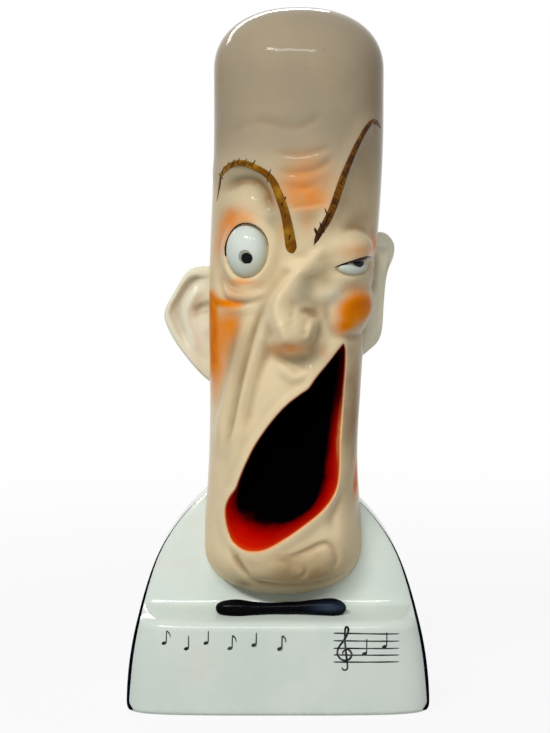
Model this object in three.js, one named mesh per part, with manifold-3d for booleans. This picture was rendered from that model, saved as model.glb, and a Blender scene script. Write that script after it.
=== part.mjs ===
// A porcelain figural flask: a tall, bald, bawling comic head on an arched shirt-front body.
// It is cast in sections that are luted together, painted and glazed, and a cork stops the
// filler hole behind the crown. Millimetres, +Z up, the face towards -Y, and the origin on the
// table under the middle of the body. Left and right are as seen from the front.
import * as THREE from "three";
import { mergeVertices } from "three/addons/utils/BufferGeometryUtils.js";
import Module from "manifold-3d";

const wasm = await Module();
wasm.setup();

// Fits and walls
const FIT = 0.3; // gap of the slip joint between two luted pieces
const WALL = 3.4; // cast porcelain wall
const SEAM_Y = 1; // plane of the mould seam between the front and back sections

// Head: a column that leans to +X as it rises, drawn in at the jaw, with a round crown and chin
const HEAD_FOOT = 25.4;
const HEAD_TOP = 165;
const HEAD_HALF_WIDTH = 20;
const HEAD_HALF_DEPTH = 18.6;
const HEAD_X = 1.2;
const HEAD_Y = -1;
const HEAD_LEAN = 3.7;
const FACE_BASE = 28.4; // level from which the face, the lean and the pinch are measured
const LEAN_FROM = 31.6;
const LEAN_TO = 111.6;
const JAW_PINCH = 2.4;
const JAW_PINCH_HEIGHT = 37.6;
const JAW_PINCH_SPREAD = 28;
const CROWN_ROUND = 15;
const CHIN_ROUND = 12.5;
const ROUND_POWER = 2.25; // superellipse power of the crown's and the chin's profile
const SECTION_POWER = 2.15; // superellipse power of the level section

// Mouth: a pocket that narrows from the lips to a flat floor
const MOUTH_FLOOR_Y = -6;
const LIP_Y = -17.5; // depth at which the pocket starts to narrow
const LIP_WALL = 2.2;
const LIP_ROLL = { height: 0.9, width: 2 };

// Eyes: place on the face, half sizes across, deep and tall, the ball's centre across and deep, and
// its turn to the side
const WIDE_EYE = { at: [-10.7, 80.4], half: [5.2, 4, 6.3], centre: [-10.4, -16.3], turn: -0.5 };
const WINK_EYE = { at: [14.3, 76.6], half: [4.6, 2.2, 2.1], centre: [13.9, -14.1], turn: 0.75 };

// Ears: place of the root on the head's side, turn back about it, and outline from the root
const LEFT_EAR = {
  side: -1, root: 17.6, y: -1, sweep: 0.15, thickness: 5.4, hollow: [5.6, 65.6], hollowDepth: 2.4,
  outline: [
    [-2.4, 75.3], [1.4, 75.6], [5.2, 75.3], [7.5, 73.1], [9.7, 69.4], [11.4, 65.8], [11.7, 62.8], [8.6, 57.4],
    [4.4, 51.6], [0.8, 48], [-2.4, 46.8], [-2.8, 56], [-2.8, 67],
  ],
};
const RIGHT_EAR = {
  side: 1, root: 17.4, y: -1, sweep: 1, thickness: 4, hollow: [4.2, 71.5], hollowDepth: 1.2,
  outline: [
    [-1.5, 82.6], [2, 83.2], [5.4, 83.4], [8.6, 83], [11, 81.4], [11.7, 79.6], [10.9, 77.4], [9, 75.2],
    [7.6, 72.6], [6.8, 69], [6, 65], [5, 61], [3.6, 58], [1.4, 56], [-1.6, 54.6], [-3.2, 57], [-3, 64], [-2.6, 73],
  ],
};
// Share of the outline at each ring, with its share of the thickness or of the hollow's depth
const EAR_OUTSIDE = [[0.6, 0.4], [0.92, 0.25], [1, -0.08], [0.95, -0.42], [0.86, -0.5]];
const EAR_HOLLOW = [[0.76, 0.25], [0.66, 0.85], [0.4, 1]];
const EAR_ROOT_SHARE = 0.3; // share of the thickness left where the ear meets the head

// Body: a plinth with a shelf under the chin, and shoulders that are half an ellipse
const BODY_HALF_WIDTH = 36;
const SHOULDER_HEIGHT = 56.5;
const PLINTH_FRONT = 23;
const SHELF_FOOT = 20.8; // the shelf rises in a soft step from here
const SHELF_TOP = 24.2;
const SHIRT_FRONT = 10;
const SHIRT_TOP_FRONT = 0;
const BODY_BACK = 22;
const BODY_TOP_BACK = 8;
const BODY_POWER = 8; // superellipse power of the level section
const FRONT_BULGE = 0.06; // share of the depth that the panels lose towards their side edges
const FOOT_ROUND = 1.2;
const FOOT_BEND = 0.3; // share of the foot's round at which its ring turns upward
const BODY_CAVITY_TOP = 17.4;
const FLOOR_THICKNESS = 4;
const THROAT_RADIUS = 6.2; // passage between the body's and the head's hollow
const THROAT_Y = 8.2;

// Bow tie: a dog-bone roll that lies on the shelf
const BOW_HALF_LENGTH = 15.4;
const BOW_END_RADIUS = 2.3;
const BOW_WAIST_RADIUS = 1.35;
const BOW_X = 0.7;
const BOW_Y = -16.2;
const BOW_HEIGHT = 24.5;
const BOW_SWELL = [0.1, 0.85]; // shares of the half length between which the roll swells
const BOW_END_POWER = 8; // bluntness of the roll's ends

// Filler neck and cork, on an axis that leans back from the crown
const NECK_DROP = 15; // from the top of the head down to the neck
const NECK_TILT = 0.44;
const NECK_RADIUS = 7;
const NECK_LIP = 1;
const NECK_RISE = 3.8; // from the head's skin to the top of the lip
const NECK_SUNK = 5;
const BORE_RADIUS = 5.1;
const BORE_TAPER = 0.05; // growth of the bore's radius with height
const CORK_CLEARANCE = 0.15;
const CORK_SEATED = 7.4;
const CORK_PROUD = 5.2;
const CORK_CHAMFER = 0.6;

// Face outlines: across from the head's leaning axis, and up from the face's base level
const LIPS = [
  [13.4, 58.9], [14.2, 54], [14, 46], [13.4, 38], [12.7, 27], [10.4, 21.2], [3.2, 14.6], [-4.9, 10.3],
  [-9.9, 11.2], [-13, 18], [-11.4, 23.4], [-8.9, 30.5], [-4.2, 39.1], [2, 46.4], [7.4, 51.2],
];
const THROAT_FLOOR = [
  [12.9, 55.5], [12.6, 51], [11.9, 44.6], [11.2, 37], [10.2, 27.5], [8.4, 21.6], [4, 17.4], [-2.2, 15.2],
  [-7, 16.8], [-10.6, 20.5], [-10.3, 25], [-8.5, 30.5], [-4, 39], [2.2, 46], [7.2, 50.6],
];

// Soft swellings of the face, or hollows where the height is negative
const MOUNDS = [
  { at: [-11.5, 71.6], size: [6, 2.6], height: 1.4 }, // bag under the wide eye
  { at: [13.9, 81], size: [5.6, 3], height: 2 }, // heavy lid of the winking eye
  { at: [14.3, 76.6], size: [5.4, 1.9], height: -1.6 }, // slit of the winking eye
  { at: [14.5, 73.6], size: [4.4, 1.9], height: 0.9 }, // bag under the winking eye
  { at: [2.6, 86.5], size: [2.2, 6], height: -1.1 }, // frown between the brows
  { at: [1, 100], size: [8, 9], height: 0.7 }, // furrowed forehead
  { at: [3, 54.5], size: [7, 4], height: 1.2 }, // upper lip
  { at: [1.5, 5.5], size: [8.5, 4.5], height: 1.7 }, // chin
  { at: [11.5, 9], size: [4.5, 5], height: 1.3 }, // right jowl
];

// Full round swellings with steeper sides
const BOSSES = [
  { at: [15.4, 66], size: [5, 4.8], height: 2.6 }, // bunched cheek
];

// Ridges that follow a curve across the face, or creases where the height is negative
const ROLLS = [
  {
    path: [[-18.2, 92.5], [-14.9, 100.2], [-9.4, 99.9], [-3.9, 93.5], [-0.1, 79.6]],
    height: 1.3,
    width: 2.3,
  },
  { path: [[4.4, 81.8], [8.2, 91.5], [11.5, 102.3], [14.6, 108.6], [17, 109.6]], height: 1.1, width: 2.1 },
  { path: [[-17.7, 71], [-13.5, 68], [-8, 67.8], [-5, 70.5]], height: -0.9, width: 1.4 },
  { path: [[-4, 66], [-5.5, 58], [-7.6, 48.3], [-10.6, 38.2], [-12.8, 29.5]], height: 1.5, width: 1.9 },
  { path: [[-6.9, 62], [-8.8, 53], [-10.8, 45.8], [-13, 36]], height: -1, width: 1.5 },
  { path: [[-10.4, 60], [-12.5, 46.7], [-14.8, 34]], height: 1.2, width: 1.8 },
  { path: [[7.5, 69], [10, 61.5], [14.5, 60]], height: -0.9, width: 1.5 },
  { path: [[-9, 6.6], [-2, 6.4], [6, 10], [12, 17]], height: -0.8, width: 1.7 },
  { path: [[15.4, 57], [16.2, 45], [15.6, 33], [15, 24]], height: 1, width: 2 },
];

// The rim and dish of the wide eye's socket, as shares of the eyeball's outline
const SOCKET = { rim: 1.3, rimAt: 1.28, rimWidth: 0.24, dish: 2 };

// Nose: a drooping ridge with a bulb and two wings, all pushed straight forward
const NOSE_BRIDGE = {
  path: [[2.6, 82], [1.4, 76], [0.6, 69], [0.7, 64]],
  rise: [0.8, 5],
  width: [2.4, 4],
};
const NOSE_BOSSES = [
  { at: [0.8, 63], size: [5.4, 5], height: 3.8 },
  { at: [-3.6, 65.6], size: [3, 3.2], height: 2.2 },
  { at: [5.4, 64.6], size: [3.2, 3.4], height: 2.4 },
];

// Shares of the head's depth between which the modelled face comes in from the sides
const FACE_BLEND = [0.04, 0.3];

// Facet counts
const FINE_GRID = { frontColumns: 36, backColumns: 10, columnRows: 46, capRows: 6 };
const HOLLOW_GRID = { frontColumns: 10, backColumns: 10, columnRows: 6, capRows: 4 };
const BODY_COLUMNS = 40;
const SHELF_ROWS = 4;
const SHOULDER_ROWS = 7;
const LATHE_SIDES = 24;
const BALL_SIDES = 16;
const BALL_ROWS = 10;
const THROAT_SIDES = 16;
const BOW_SIDES = 16;
const BOW_STEPS = 16;
const LIP_STEPS = 8;
const CURVE_SAMPLES = 60;
const LIP_SAMPLES = 180;
const OUTLINE_STEPS = 2; // points per hand-chosen point of a closed outline

const FLESH = 0xd8c4a6;
const WHITE = 0xdfe4df;
const RED = 0xb01208;
const NAVY = 0x10121c;
const CORK = 0xb78a58;
const GLOSSY = 0.18;
const MATT = 0.85;
const finish = (color, roughness) => new THREE.MeshStandardMaterial({ color, roughness, metalness: 0 });
const glaze = (color) => finish(color, GLOSSY);

const mix = THREE.MathUtils.lerp;
const ease = THREE.MathUtils.smoothstep;
const bell = (x) => Math.exp(-x * x);
const plateau = (x) => Math.exp(-(x ** 4));
const power = (value, exponent) => Math.sign(value) * Math.abs(value) ** exponent;

// Solids

function solid(geometry) {
  geometry.deleteAttribute("normal");
  geometry.deleteAttribute("uv");
  const merged = mergeVertices(geometry);
  const vertProperties = new Float32Array(merged.attributes.position.array);
  const triVerts = new Uint32Array(merged.index.array);
  return new wasm.Manifold(new wasm.Mesh({ numProp: 3, vertProperties, triVerts }));
}

function geometryOf(manifold) {
  const { vertProperties, triVerts } = manifold.getMesh();
  const geometry = new THREE.BufferGeometry();
  geometry.setAttribute("position", new THREE.BufferAttribute(vertProperties, 3));
  geometry.setIndex(new THREE.BufferAttribute(triVerts, 1));
  geometry.computeVertexNormals();
  return geometry;
}

function mesh(name, shape, material) {
  const geometry = shape instanceof THREE.BufferGeometry ? shape : geometryOf(shape);
  const part = new THREE.Mesh(geometry, material);
  part.name = name;
  return part;
}

// A closed skin over rings of equally many points, anticlockwise about the way from foot to top
function skin(rings, foot, top) {
  const sides = rings[0].length;
  const points = [...rings.flat(), foot, top];
  const footIndex = points.length - 2;
  const topIndex = points.length - 1;
  const lastRing = (rings.length - 1) * sides;
  const faces = [];
  for (let side = 0; side < sides; side += 1) {
    const next = (side + 1) % sides;
    faces.push(footIndex, next, side, topIndex, lastRing + side, lastRing + next);
    for (let ring = 0; ring < lastRing; ring += sides) {
      faces.push(ring + side, ring + next, ring + sides + next);
      faces.push(ring + side, ring + sides + next, ring + sides + side);
    }
  }
  const geometry = new THREE.BufferGeometry().setFromPoints(points);
  geometry.setIndex(faces);
  return geometry;
}

// Points of a smooth closed curve through hand-chosen points
function closedCurve(outline) {
  const curve = new THREE.CatmullRomCurve3(outline.map(([x, y]) => new THREE.Vector3(x, y, 0)), true);
  return curve.getPoints(outline.length * OUTLINE_STEPS).slice(0, -1);
}

function middle(ring) {
  const total = ring.reduce((sum, point) => sum.add(point), new THREE.Vector3());
  return total.divideScalar(ring.length);
}

function ellipsoid(centre, half, turn) {
  const ball = new THREE.SphereGeometry(1, BALL_SIDES, BALL_ROWS);
  return ball.scale(...half).rotateZ(turn).translate(...centre);
}

const REACH = 4 * (HEAD_TOP + BODY_HALF_WIDTH); // larger than the object
const spaceBeside = (y) => solid(new THREE.BoxGeometry(REACH, REACH, REACH).translate(0, y, 0));
const frontSpace = spaceBeside(SEAM_Y - REACH / 2);
const backSpace = spaceBeside(SEAM_Y + REACH / 2);

// Head

const headX = (z) => HEAD_X + HEAD_LEAN * ease(z - FACE_BASE, LEAN_FROM, LEAN_TO);
const headHalfWidth = (z) =>
  HEAD_HALF_WIDTH - JAW_PINCH * bell((z - FACE_BASE - JAW_PINCH_HEIGHT) / JAW_PINCH_SPREAD);

// Level rings of the head grown by swell, each as its height, its share of the full section, and
// the upward part of its outward direction
function headRings(swell, columnRows, capRows) {
  const rings = [];
  const chinZ = HEAD_FOOT + CHIN_ROUND;
  const crownZ = HEAD_TOP - CROWN_ROUND;
  for (let row = 1; row < capRows; row += 1) {
    const turn = (Math.PI / 2) * (1 - row / capRows);
    const drop = (CHIN_ROUND + swell) * Math.sin(turn) ** (2 / ROUND_POWER);
    rings.push({ z: chinZ - drop, share: Math.cos(turn) ** (2 / ROUND_POWER), up: -Math.sin(turn) });
  }
  for (let row = 0; row <= columnRows; row += 1) {
    rings.push({ z: mix(chinZ, crownZ, row / columnRows), share: 1, up: 0 });
  }
  for (let row = 1; row < capRows; row += 1) {
    const turn = (Math.PI / 2) * (row / capRows);
    const rise = (CROWN_ROUND + swell) * Math.sin(turn) ** (2 / ROUND_POWER);
    rings.push({ z: crownZ + rise, share: Math.cos(turn) ** (2 / ROUND_POWER), up: Math.sin(turn) });
  }
  return rings;
}

function columnAngles(frontColumns, backColumns) {
  const angles = [];
  for (let column = 0; column < backColumns; column += 1) {
    angles.push((Math.PI * column) / backColumns);
  }
  for (let column = 0; column < frontColumns; column += 1) {
    angles.push(Math.PI * (1 + column / frontColumns));
  }
  return angles;
}

const spline = (points) => new THREE.SplineCurve(points.map(([x, y]) => new THREE.Vector2(x, y)));

// Nearest distance from a place on the face to a curve, and how far along the curve that is
function nearest(place, samples) {
  let best = { distance: Infinity, along: 0 };
  samples.forEach((sample, index) => {
    const distance = place.distanceTo(sample);
    if (distance < best.distance) {
      best = { distance, along: index / (samples.length - 1) };
    }
  });
  return best;
}

const reachOf = ({ x, y }, { at, size }) => Math.hypot((x - at[0]) / size[0], (y - at[1]) / size[1]);
const mound = (place, swelling) => swelling.height * bell(reachOf(place, swelling));
const boss = (place, swelling) => swelling.height * plateau(reachOf(place, swelling));

const rolls = ROLLS.map((roll) => ({ ...roll, samples: spline(roll.path).getPoints(CURVE_SAMPLES) }));
const lipRoll = { ...LIP_ROLL, samples: spline([...LIPS, LIPS[0]]).getPoints(LIP_SAMPLES) };
const bridgeSamples = spline(NOSE_BRIDGE.path).getPoints(CURVE_SAMPLES);

function wideSocket(place) {
  const across = (place.x - WIDE_EYE.at[0]) / WIDE_EYE.half[0];
  const up = (place.y - WIDE_EYE.at[1]) / WIDE_EYE.half[2];
  const reach = Math.hypot(across, up);
  return SOCKET.rim * bell((reach - SOCKET.rimAt) / SOCKET.rimWidth) - SOCKET.dish * bell(reach ** 2);
}

// Height of the modelled face over the smooth head
function relief(place) {
  let height = wideSocket(place);
  for (const swelling of MOUNDS) {
    height += mound(place, swelling);
  }
  for (const swelling of BOSSES) {
    height += boss(place, swelling);
  }
  for (const roll of [...rolls, lipRoll]) {
    height += roll.height * bell(nearest(place, roll.samples).distance / roll.width);
  }
  return height;
}

function nose(place) {
  const { distance, along } = nearest(place, bridgeSamples);
  const rise = mix(NOSE_BRIDGE.rise[0], NOSE_BRIDGE.rise[1], along);
  let reach = rise * bell(distance / mix(NOSE_BRIDGE.width[0], NOSE_BRIDGE.width[1], along));
  for (const swelling of NOSE_BOSSES) {
    reach += boss(place, swelling);
  }
  return reach;
}

function headGeometry({ swell, modelled, frontColumns, backColumns, columnRows, capRows }) {
  const angles = columnAngles(frontColumns, backColumns);
  const halfDepth = HEAD_HALF_DEPTH + swell;
  const rings = headRings(swell, columnRows, capRows).map(({ z, share, up }) => {
    const halfWidth = headHalfWidth(z) + swell;
    return angles.map((angle) => {
      const across = power(Math.cos(angle), 2 / SECTION_POWER);
      const deep = power(Math.sin(angle), 2 / SECTION_POWER);
      const x = headX(z) + halfWidth * share * across;
      const point = new THREE.Vector3(x, HEAD_Y + halfDepth * share * deep, z);
      if (!modelled) {
        return point;
      }
      const place = new THREE.Vector2(headHalfWidth(z) * share * across, z - FACE_BASE);
      const facing = ease(-deep, ...FACE_BLEND);
      const level = Math.sqrt(1 - up * up);
      const outward = new THREE.Vector3(Math.cos(angle) * level, Math.sin(angle) * level, up);
      point.addScaledVector(outward, facing * relief(place));
      point.y -= facing * nose(place);
      return point;
    });
  });
  const foot = new THREE.Vector3(headX(HEAD_FOOT), HEAD_Y, HEAD_FOOT - swell);
  const top = new THREE.Vector3(headX(HEAD_TOP), HEAD_Y, HEAD_TOP + swell);
  return skin(rings, foot, top);
}

const head = solid(headGeometry({ swell: 0, modelled: true, ...FINE_GRID }));
const headSocket = solid(headGeometry({ swell: FIT, modelled: true, ...FINE_GRID }));
const headHollow = solid(headGeometry({ swell: -WALL, modelled: false, ...HOLLOW_GRID }));

// Mouth

// A closed outline on the face as points at one depth, grown outward by an amount
function faceOutline(outline, amount, y) {
  const points = closedCurve(outline);
  const count = points.length;
  return points.map((point, index) => {
    const before = points[(index + count - 1) % count];
    const after = points[(index + 1) % count];
    const run = after.clone().sub(before).normalize();
    const z = FACE_BASE + point.y;
    return new THREE.Vector3(headX(z) + point.x - amount * run.y, y, z + amount * run.x);
  });
}

// The pocket grown by an amount: straight in front of the lips, then narrowing to its floor
function mouthPocket(amount, floorY) {
  const frontY = HEAD_Y - 2 * HEAD_HALF_DEPTH;
  const rings = [
    faceOutline(THROAT_FLOOR, amount, floorY),
    faceOutline(LIPS, amount, LIP_Y),
    faceOutline(LIPS, amount, frontY),
  ].map((ring) => ring.reverse());
  return solid(skin(rings, middle(rings[0]), middle(rings[2])));
}

const linerBlank = mouthPocket(LIP_WALL, MOUTH_FLOOR_Y + LIP_WALL);
const linerSocket = mouthPocket(LIP_WALL + FIT, MOUTH_FLOOR_Y + LIP_WALL + FIT);
const mouthLiner = linerBlank.intersect(head).subtract(mouthPocket(0, MOUTH_FLOOR_Y));

// Eyes

function eyeball({ at, half, centre, turn }) {
  const z = FACE_BASE + at[1];
  return solid(ellipsoid([headX(z) + centre[0], centre[1], z], half, turn)).subtract(headSocket);
}

// Ears: rings of one outline, from the middle of the back over the rim to the middle of the hollow

function ear({ side, root, y, sweep, thickness, hollow, hollowDepth, outline }) {
  const turn = new THREE.Matrix4().makeRotationZ(side * sweep);
  const rootX = headX(FACE_BASE + hollow[1]) + side * root;
  const place = new THREE.Matrix4().makeTranslation(rootX, y, FACE_BASE).multiply(turn);
  const runOut = (w) => mix(EAR_ROOT_SHARE, 1, ease(w, 0, hollow[0]));
  const at = (w, h, depth) => new THREE.Vector3(side * w, depth * runOut(w), h).applyMatrix4(place);
  const section = [
    ...EAR_OUTSIDE.map(([share, depth]) => [share, depth * thickness]),
    ...EAR_HOLLOW.map(([share, depth]) => [share, depth * hollowDepth - thickness / 2]),
  ];
  const curve = closedCurve(outline);
  const rings = section.map(([share, depth]) => {
    const ring = curve.map(({ x, y: h }) => at(mix(hollow[0], x, share), mix(hollow[1], h, share), depth));
    return side > 0 ? ring.reverse() : ring;
  });
  const back = at(...hollow, section[0][1]);
  const floor = at(...hollow, section.at(-1)[1]);
  return solid(skin(rings, back, floor)).subtract(headSocket);
}

// Body

const bodyHalfWidth = (z) => BODY_HALF_WIDTH * Math.sqrt(Math.max(0, 1 - (z / SHOULDER_HEIGHT) ** 2));

function bodyFront(z) {
  if (z < SHELF_TOP) {
    return mix(PLINTH_FRONT, SHIRT_FRONT, ease(z, SHELF_FOOT, SHELF_TOP));
  }
  return mix(SHIRT_FRONT, SHIRT_TOP_FRONT, (z - SHELF_TOP) / (SHOULDER_HEIGHT - SHELF_TOP));
}

const bodyBack = (z) => mix(BODY_BACK, BODY_TOP_BACK, (z / SHOULDER_HEIGHT) ** 2);

// A level section of the body, drawn in by an amount
function bodyRing(z, sectionZ, inset) {
  const halfWidth = bodyHalfWidth(sectionZ) - inset;
  const front = bodyFront(sectionZ) - inset;
  const back = bodyBack(sectionZ) - inset;
  return Array.from({ length: BODY_COLUMNS }, (_, column) => {
    const angle = (2 * Math.PI * (column + 0.5)) / BODY_COLUMNS;
    const across = power(Math.cos(angle), 2 / BODY_POWER);
    const deep = power(Math.sin(angle), 2 / BODY_POWER) * (1 - FRONT_BULGE * across * across);
    return new THREE.Vector3(halfWidth * across, (deep < 0 ? front : back) * deep, z);
  });
}

// The body before it is hollowed, raised as a whole by a lift
function bodyBlank(lift) {
  const rings = [
    bodyRing(0, 0, FOOT_ROUND),
    bodyRing(FOOT_BEND * FOOT_ROUND, 0, FOOT_BEND * FOOT_ROUND),
    bodyRing(FOOT_ROUND, FOOT_ROUND, 0),
    bodyRing(SHELF_FOOT / 2, SHELF_FOOT / 2, 0),
  ];
  for (let row = 0; row <= SHELF_ROWS; row += 1) {
    const z = mix(SHELF_FOOT, SHELF_TOP, row / SHELF_ROWS);
    rings.push(bodyRing(z, z, 0));
  }
  for (let row = 1; row < SHOULDER_ROWS; row += 1) {
    const z = mix(SHELF_TOP, SHOULDER_HEIGHT, Math.sin((Math.PI / 2) * (row / SHOULDER_ROWS)));
    rings.push(bodyRing(z, z, 0));
  }
  const top = new THREE.Vector3(0, (BODY_TOP_BACK - SHIRT_TOP_FRONT) / 2, SHOULDER_HEIGHT);
  return solid(skin(rings, middle(rings[0]), top).translate(0, 0, lift));
}

// An upright prism of the body's foot section, drawn in by an amount
function bodyPrism(inset, from, to) {
  const rings = [bodyRing(from, SHELF_FOOT, inset), bodyRing(to, SHELF_FOOT, inset)];
  return skin(rings, middle(rings[0]), middle(rings[1]));
}

const throatHeight = HEAD_FOOT + CHIN_ROUND - BODY_CAVITY_TOP + WALL;
const throat = solid(
  new THREE.CylinderGeometry(THROAT_RADIUS, THROAT_RADIUS, throatHeight, THROAT_SIDES)
    .rotateX(Math.PI / 2)
    .translate(HEAD_X, THROAT_Y, BODY_CAVITY_TOP - WALL + throatHeight / 2),
);
const body = bodyBlank(0)
  .subtract(headSocket)
  .subtract(solid(bodyPrism(WALL, -WALL, BODY_CAVITY_TOP)))
  .subtract(throat);
const baseFloor = bodyPrism(WALL + FIT, 0, FLOOR_THICKNESS);

// Bow tie: a roll revolved about its long axis, bedded on the shelf

function bowTie() {
  const profile = [new THREE.Vector2(0, -BOW_HALF_LENGTH)];
  for (let step = 1; step < BOW_STEPS; step += 1) {
    const along = -Math.cos((Math.PI * step) / BOW_STEPS);
    const swell = mix(BOW_WAIST_RADIUS, BOW_END_RADIUS, ease(Math.abs(along), ...BOW_SWELL));
    const round = Math.sqrt(1 - Math.abs(along) ** BOW_END_POWER);
    profile.push(new THREE.Vector2(swell * round, BOW_HALF_LENGTH * along));
  }
  profile.push(new THREE.Vector2(0, BOW_HALF_LENGTH));
  const roll = new THREE.LatheGeometry(profile, BOW_SIDES).rotateZ(-Math.PI / 2);
  return solid(roll.translate(BOW_X, BOW_Y, BOW_HEIGHT)).subtract(bodyBlank(FIT)).subtract(headSocket);
}

// Filler neck and cork, in the neck's own frame with its axis along Y

const boreRadius = (s) => BORE_RADIUS + BORE_TAPER * s;
const neck = new THREE.Group();
neck.rotation.x = NECK_TILT;
const neckHeight = HEAD_TOP - NECK_DROP;
neck.position.set(headX(neckHeight), HEAD_Y + HEAD_HALF_DEPTH, neckHeight);
neck.updateMatrix();

function neckRing() {
  const profile = [
    new THREE.Vector2(boreRadius(-NECK_SUNK), -NECK_SUNK),
    new THREE.Vector2(NECK_RADIUS, -NECK_SUNK),
  ];
  for (let step = 0; step <= LIP_STEPS; step += 1) {
    const turn = mix(-Math.PI / 2, Math.PI / 2, step / LIP_STEPS);
    const radius = NECK_RADIUS + NECK_LIP * Math.cos(turn);
    profile.push(new THREE.Vector2(radius, NECK_RISE - NECK_LIP + NECK_LIP * Math.sin(turn)));
  }
  profile.push(new THREE.Vector2(boreRadius(NECK_RISE) + NECK_LIP / 2, NECK_RISE));
  profile.push(new THREE.Vector2(boreRadius(NECK_RISE - NECK_LIP / 2), NECK_RISE - NECK_LIP / 2));
  profile.push(profile[0].clone());
  return new THREE.LatheGeometry(profile, LATHE_SIDES);
}

function cork() {
  const foot = NECK_RISE - CORK_SEATED;
  const top = NECK_RISE + CORK_PROUD;
  const radius = (s) => boreRadius(s) - CORK_CLEARANCE;
  const profile = [
    new THREE.Vector2(0, foot),
    new THREE.Vector2(radius(foot) - CORK_CHAMFER, foot),
    new THREE.Vector2(radius(foot + CORK_CHAMFER), foot + CORK_CHAMFER),
    new THREE.Vector2(radius(top - CORK_CHAMFER), top - CORK_CHAMFER),
    new THREE.Vector2(radius(top) - CORK_CHAMFER, top),
    new THREE.Vector2(0, top),
  ];
  return new THREE.LatheGeometry(profile, LATHE_SIDES);
}

const holeRadius = NECK_RADIUS + FIT;
const neckHole = solid(
  new THREE.CylinderGeometry(holeRadius, holeRadius, 4 * NECK_SUNK, LATHE_SIDES).applyMatrix4(neck.matrix),
);

// Assembly

const hollowHead = head.subtract(headHollow);
const faceShell = hollowHead.subtract(linerSocket).intersect(frontSpace);
const headBack = hollowHead.subtract(throat).subtract(neckHole).intersect(backSpace);

neck.add(mesh("filler_neck", neckRing(), glaze(FLESH)));
neck.add(mesh("cork_stopper", cork(), finish(CORK, MATT)));

const flask = new THREE.Group();
flask.add(
  mesh("face_shell", faceShell, glaze(FLESH)),
  mesh("head_back_shell", headBack, glaze(FLESH)),
  mesh("mouth_liner", mouthLiner, glaze(RED)),
  mesh("open_eyeball", eyeball(WIDE_EYE), glaze(WHITE)),
  mesh("winking_eyeball", eyeball(WINK_EYE), glaze(WHITE)),
  mesh("left_ear", ear(LEFT_EAR), glaze(FLESH)),
  mesh("right_ear", ear(RIGHT_EAR), glaze(FLESH)),
  mesh("body_front_shell", body.intersect(frontSpace), glaze(WHITE)),
  mesh("body_back_shell", body.intersect(backSpace), glaze(WHITE)),
  mesh("base_floor", baseFloor, glaze(WHITE)),
  mesh("bow_tie", bowTie(), glaze(NAVY)),
  neck,
);

export default flask;
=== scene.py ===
"""Looks of the porcelain figural flask: a glazed head with a modelled and painted face, ears, eyes, a
shirt-front body with a bow, a filler collar and a cork. Shapes are worked out in millimetres, in the frame
of the solids."""

import bpy
import numpy as np
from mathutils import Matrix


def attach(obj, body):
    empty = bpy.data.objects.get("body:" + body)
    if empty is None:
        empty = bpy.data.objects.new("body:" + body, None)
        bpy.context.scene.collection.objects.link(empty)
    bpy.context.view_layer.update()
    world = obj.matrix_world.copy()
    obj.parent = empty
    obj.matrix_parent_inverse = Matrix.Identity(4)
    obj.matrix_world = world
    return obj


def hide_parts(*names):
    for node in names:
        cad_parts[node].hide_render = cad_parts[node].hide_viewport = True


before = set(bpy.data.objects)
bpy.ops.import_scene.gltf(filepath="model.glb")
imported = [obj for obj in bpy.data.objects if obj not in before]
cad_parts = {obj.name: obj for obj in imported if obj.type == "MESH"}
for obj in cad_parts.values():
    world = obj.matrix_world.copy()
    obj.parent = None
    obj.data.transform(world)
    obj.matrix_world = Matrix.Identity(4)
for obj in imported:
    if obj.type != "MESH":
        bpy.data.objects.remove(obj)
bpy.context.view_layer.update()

MM = 0.001

# Head: a column that leans to +X as it rises, drawn in at the jaw, with a round crown and chin
HEAD_FOOT, HEAD_TOP = 25.4, 165.0
HEAD_HALF_WIDTH, HEAD_HALF_DEPTH = 20.0, 18.6
HEAD_X, HEAD_Y, HEAD_LEAN = 1.2, -1.0, 3.7
FACE_BASE = 28.4
LEAN_FROM, LEAN_TO = 31.6, 111.6
JAW_PINCH, JAW_PINCH_HEIGHT, JAW_PINCH_SPREAD = 2.4, 37.6, 28.0
CROWN_ROUND, CHIN_ROUND, ROUND_POWER = 15.0, 12.5, 2.25
SECTION_POWER = 2.15
FACE_BLEND = (0.04, 0.3)

# Mouth outlines: across from the head's leaning axis, and up from the face's base level
LIPS = [
    (12.1, 58.7), (13.2, 57.9), (13.4, 53.5), (13.3, 47.6), (13.2, 41.7), (12.95, 35.9), (12.85, 30.0),
    (12.5, 25.2), (11.5, 22.4), (8.8, 19.2), (4.8, 16.0), (0.6, 13.0), (-4.2, 10.3), (-8.3, 9.9),
    (-11.1, 11.5), (-12.5, 13.8), (-13.3, 17.0), (-13.3, 20.0), (-12.3, 22.7), (-10.9, 24.9),
    (-10.0, 27.4), (-8.7, 30.8), (-6.5, 35.6), (-3.2, 40.9), (0.1, 45.1), (3.1, 47.7), (4.9, 49.0),
    (6.4, 51.3), (9.1, 54.8),
]
THROAT_FLOOR = [
    (11.7, 55.0), (11.9, 54.0), (11.7, 50.5), (11.3, 45.9), (10.6, 39.4), (10.0, 34.0), (9.4, 28.6),
    (8.7, 24.2), (7.7, 21.0), (5.6, 18.0), (3.4, 16.3), (0.8, 15.4), (-1.9, 15.4), (-4.3, 16.2),
    (-6.1, 17.3), (-7.6, 18.3), (-8.9, 19.2), (-9.7, 20.7), (-9.8, 22.8), (-9.6, 25.0), (-9.2, 27.4),
    (-8.1, 30.8), (-5.9, 35.4), (-2.7, 40.6), (0.5, 44.6), (3.5, 47.2), (5.3, 48.5), (6.7, 50.6),
    (9.3, 53.4),
]
MOUTH_MIDDLE = (2.5, 33.0)
MOUTH_FLOOR_Y, MOUTH_FLOOR_DISH = -6.0, 0.5
LIP_EDGE = 0.5
LIP_STEPS, LIP_COARSE_STEPS = 24, 8

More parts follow.
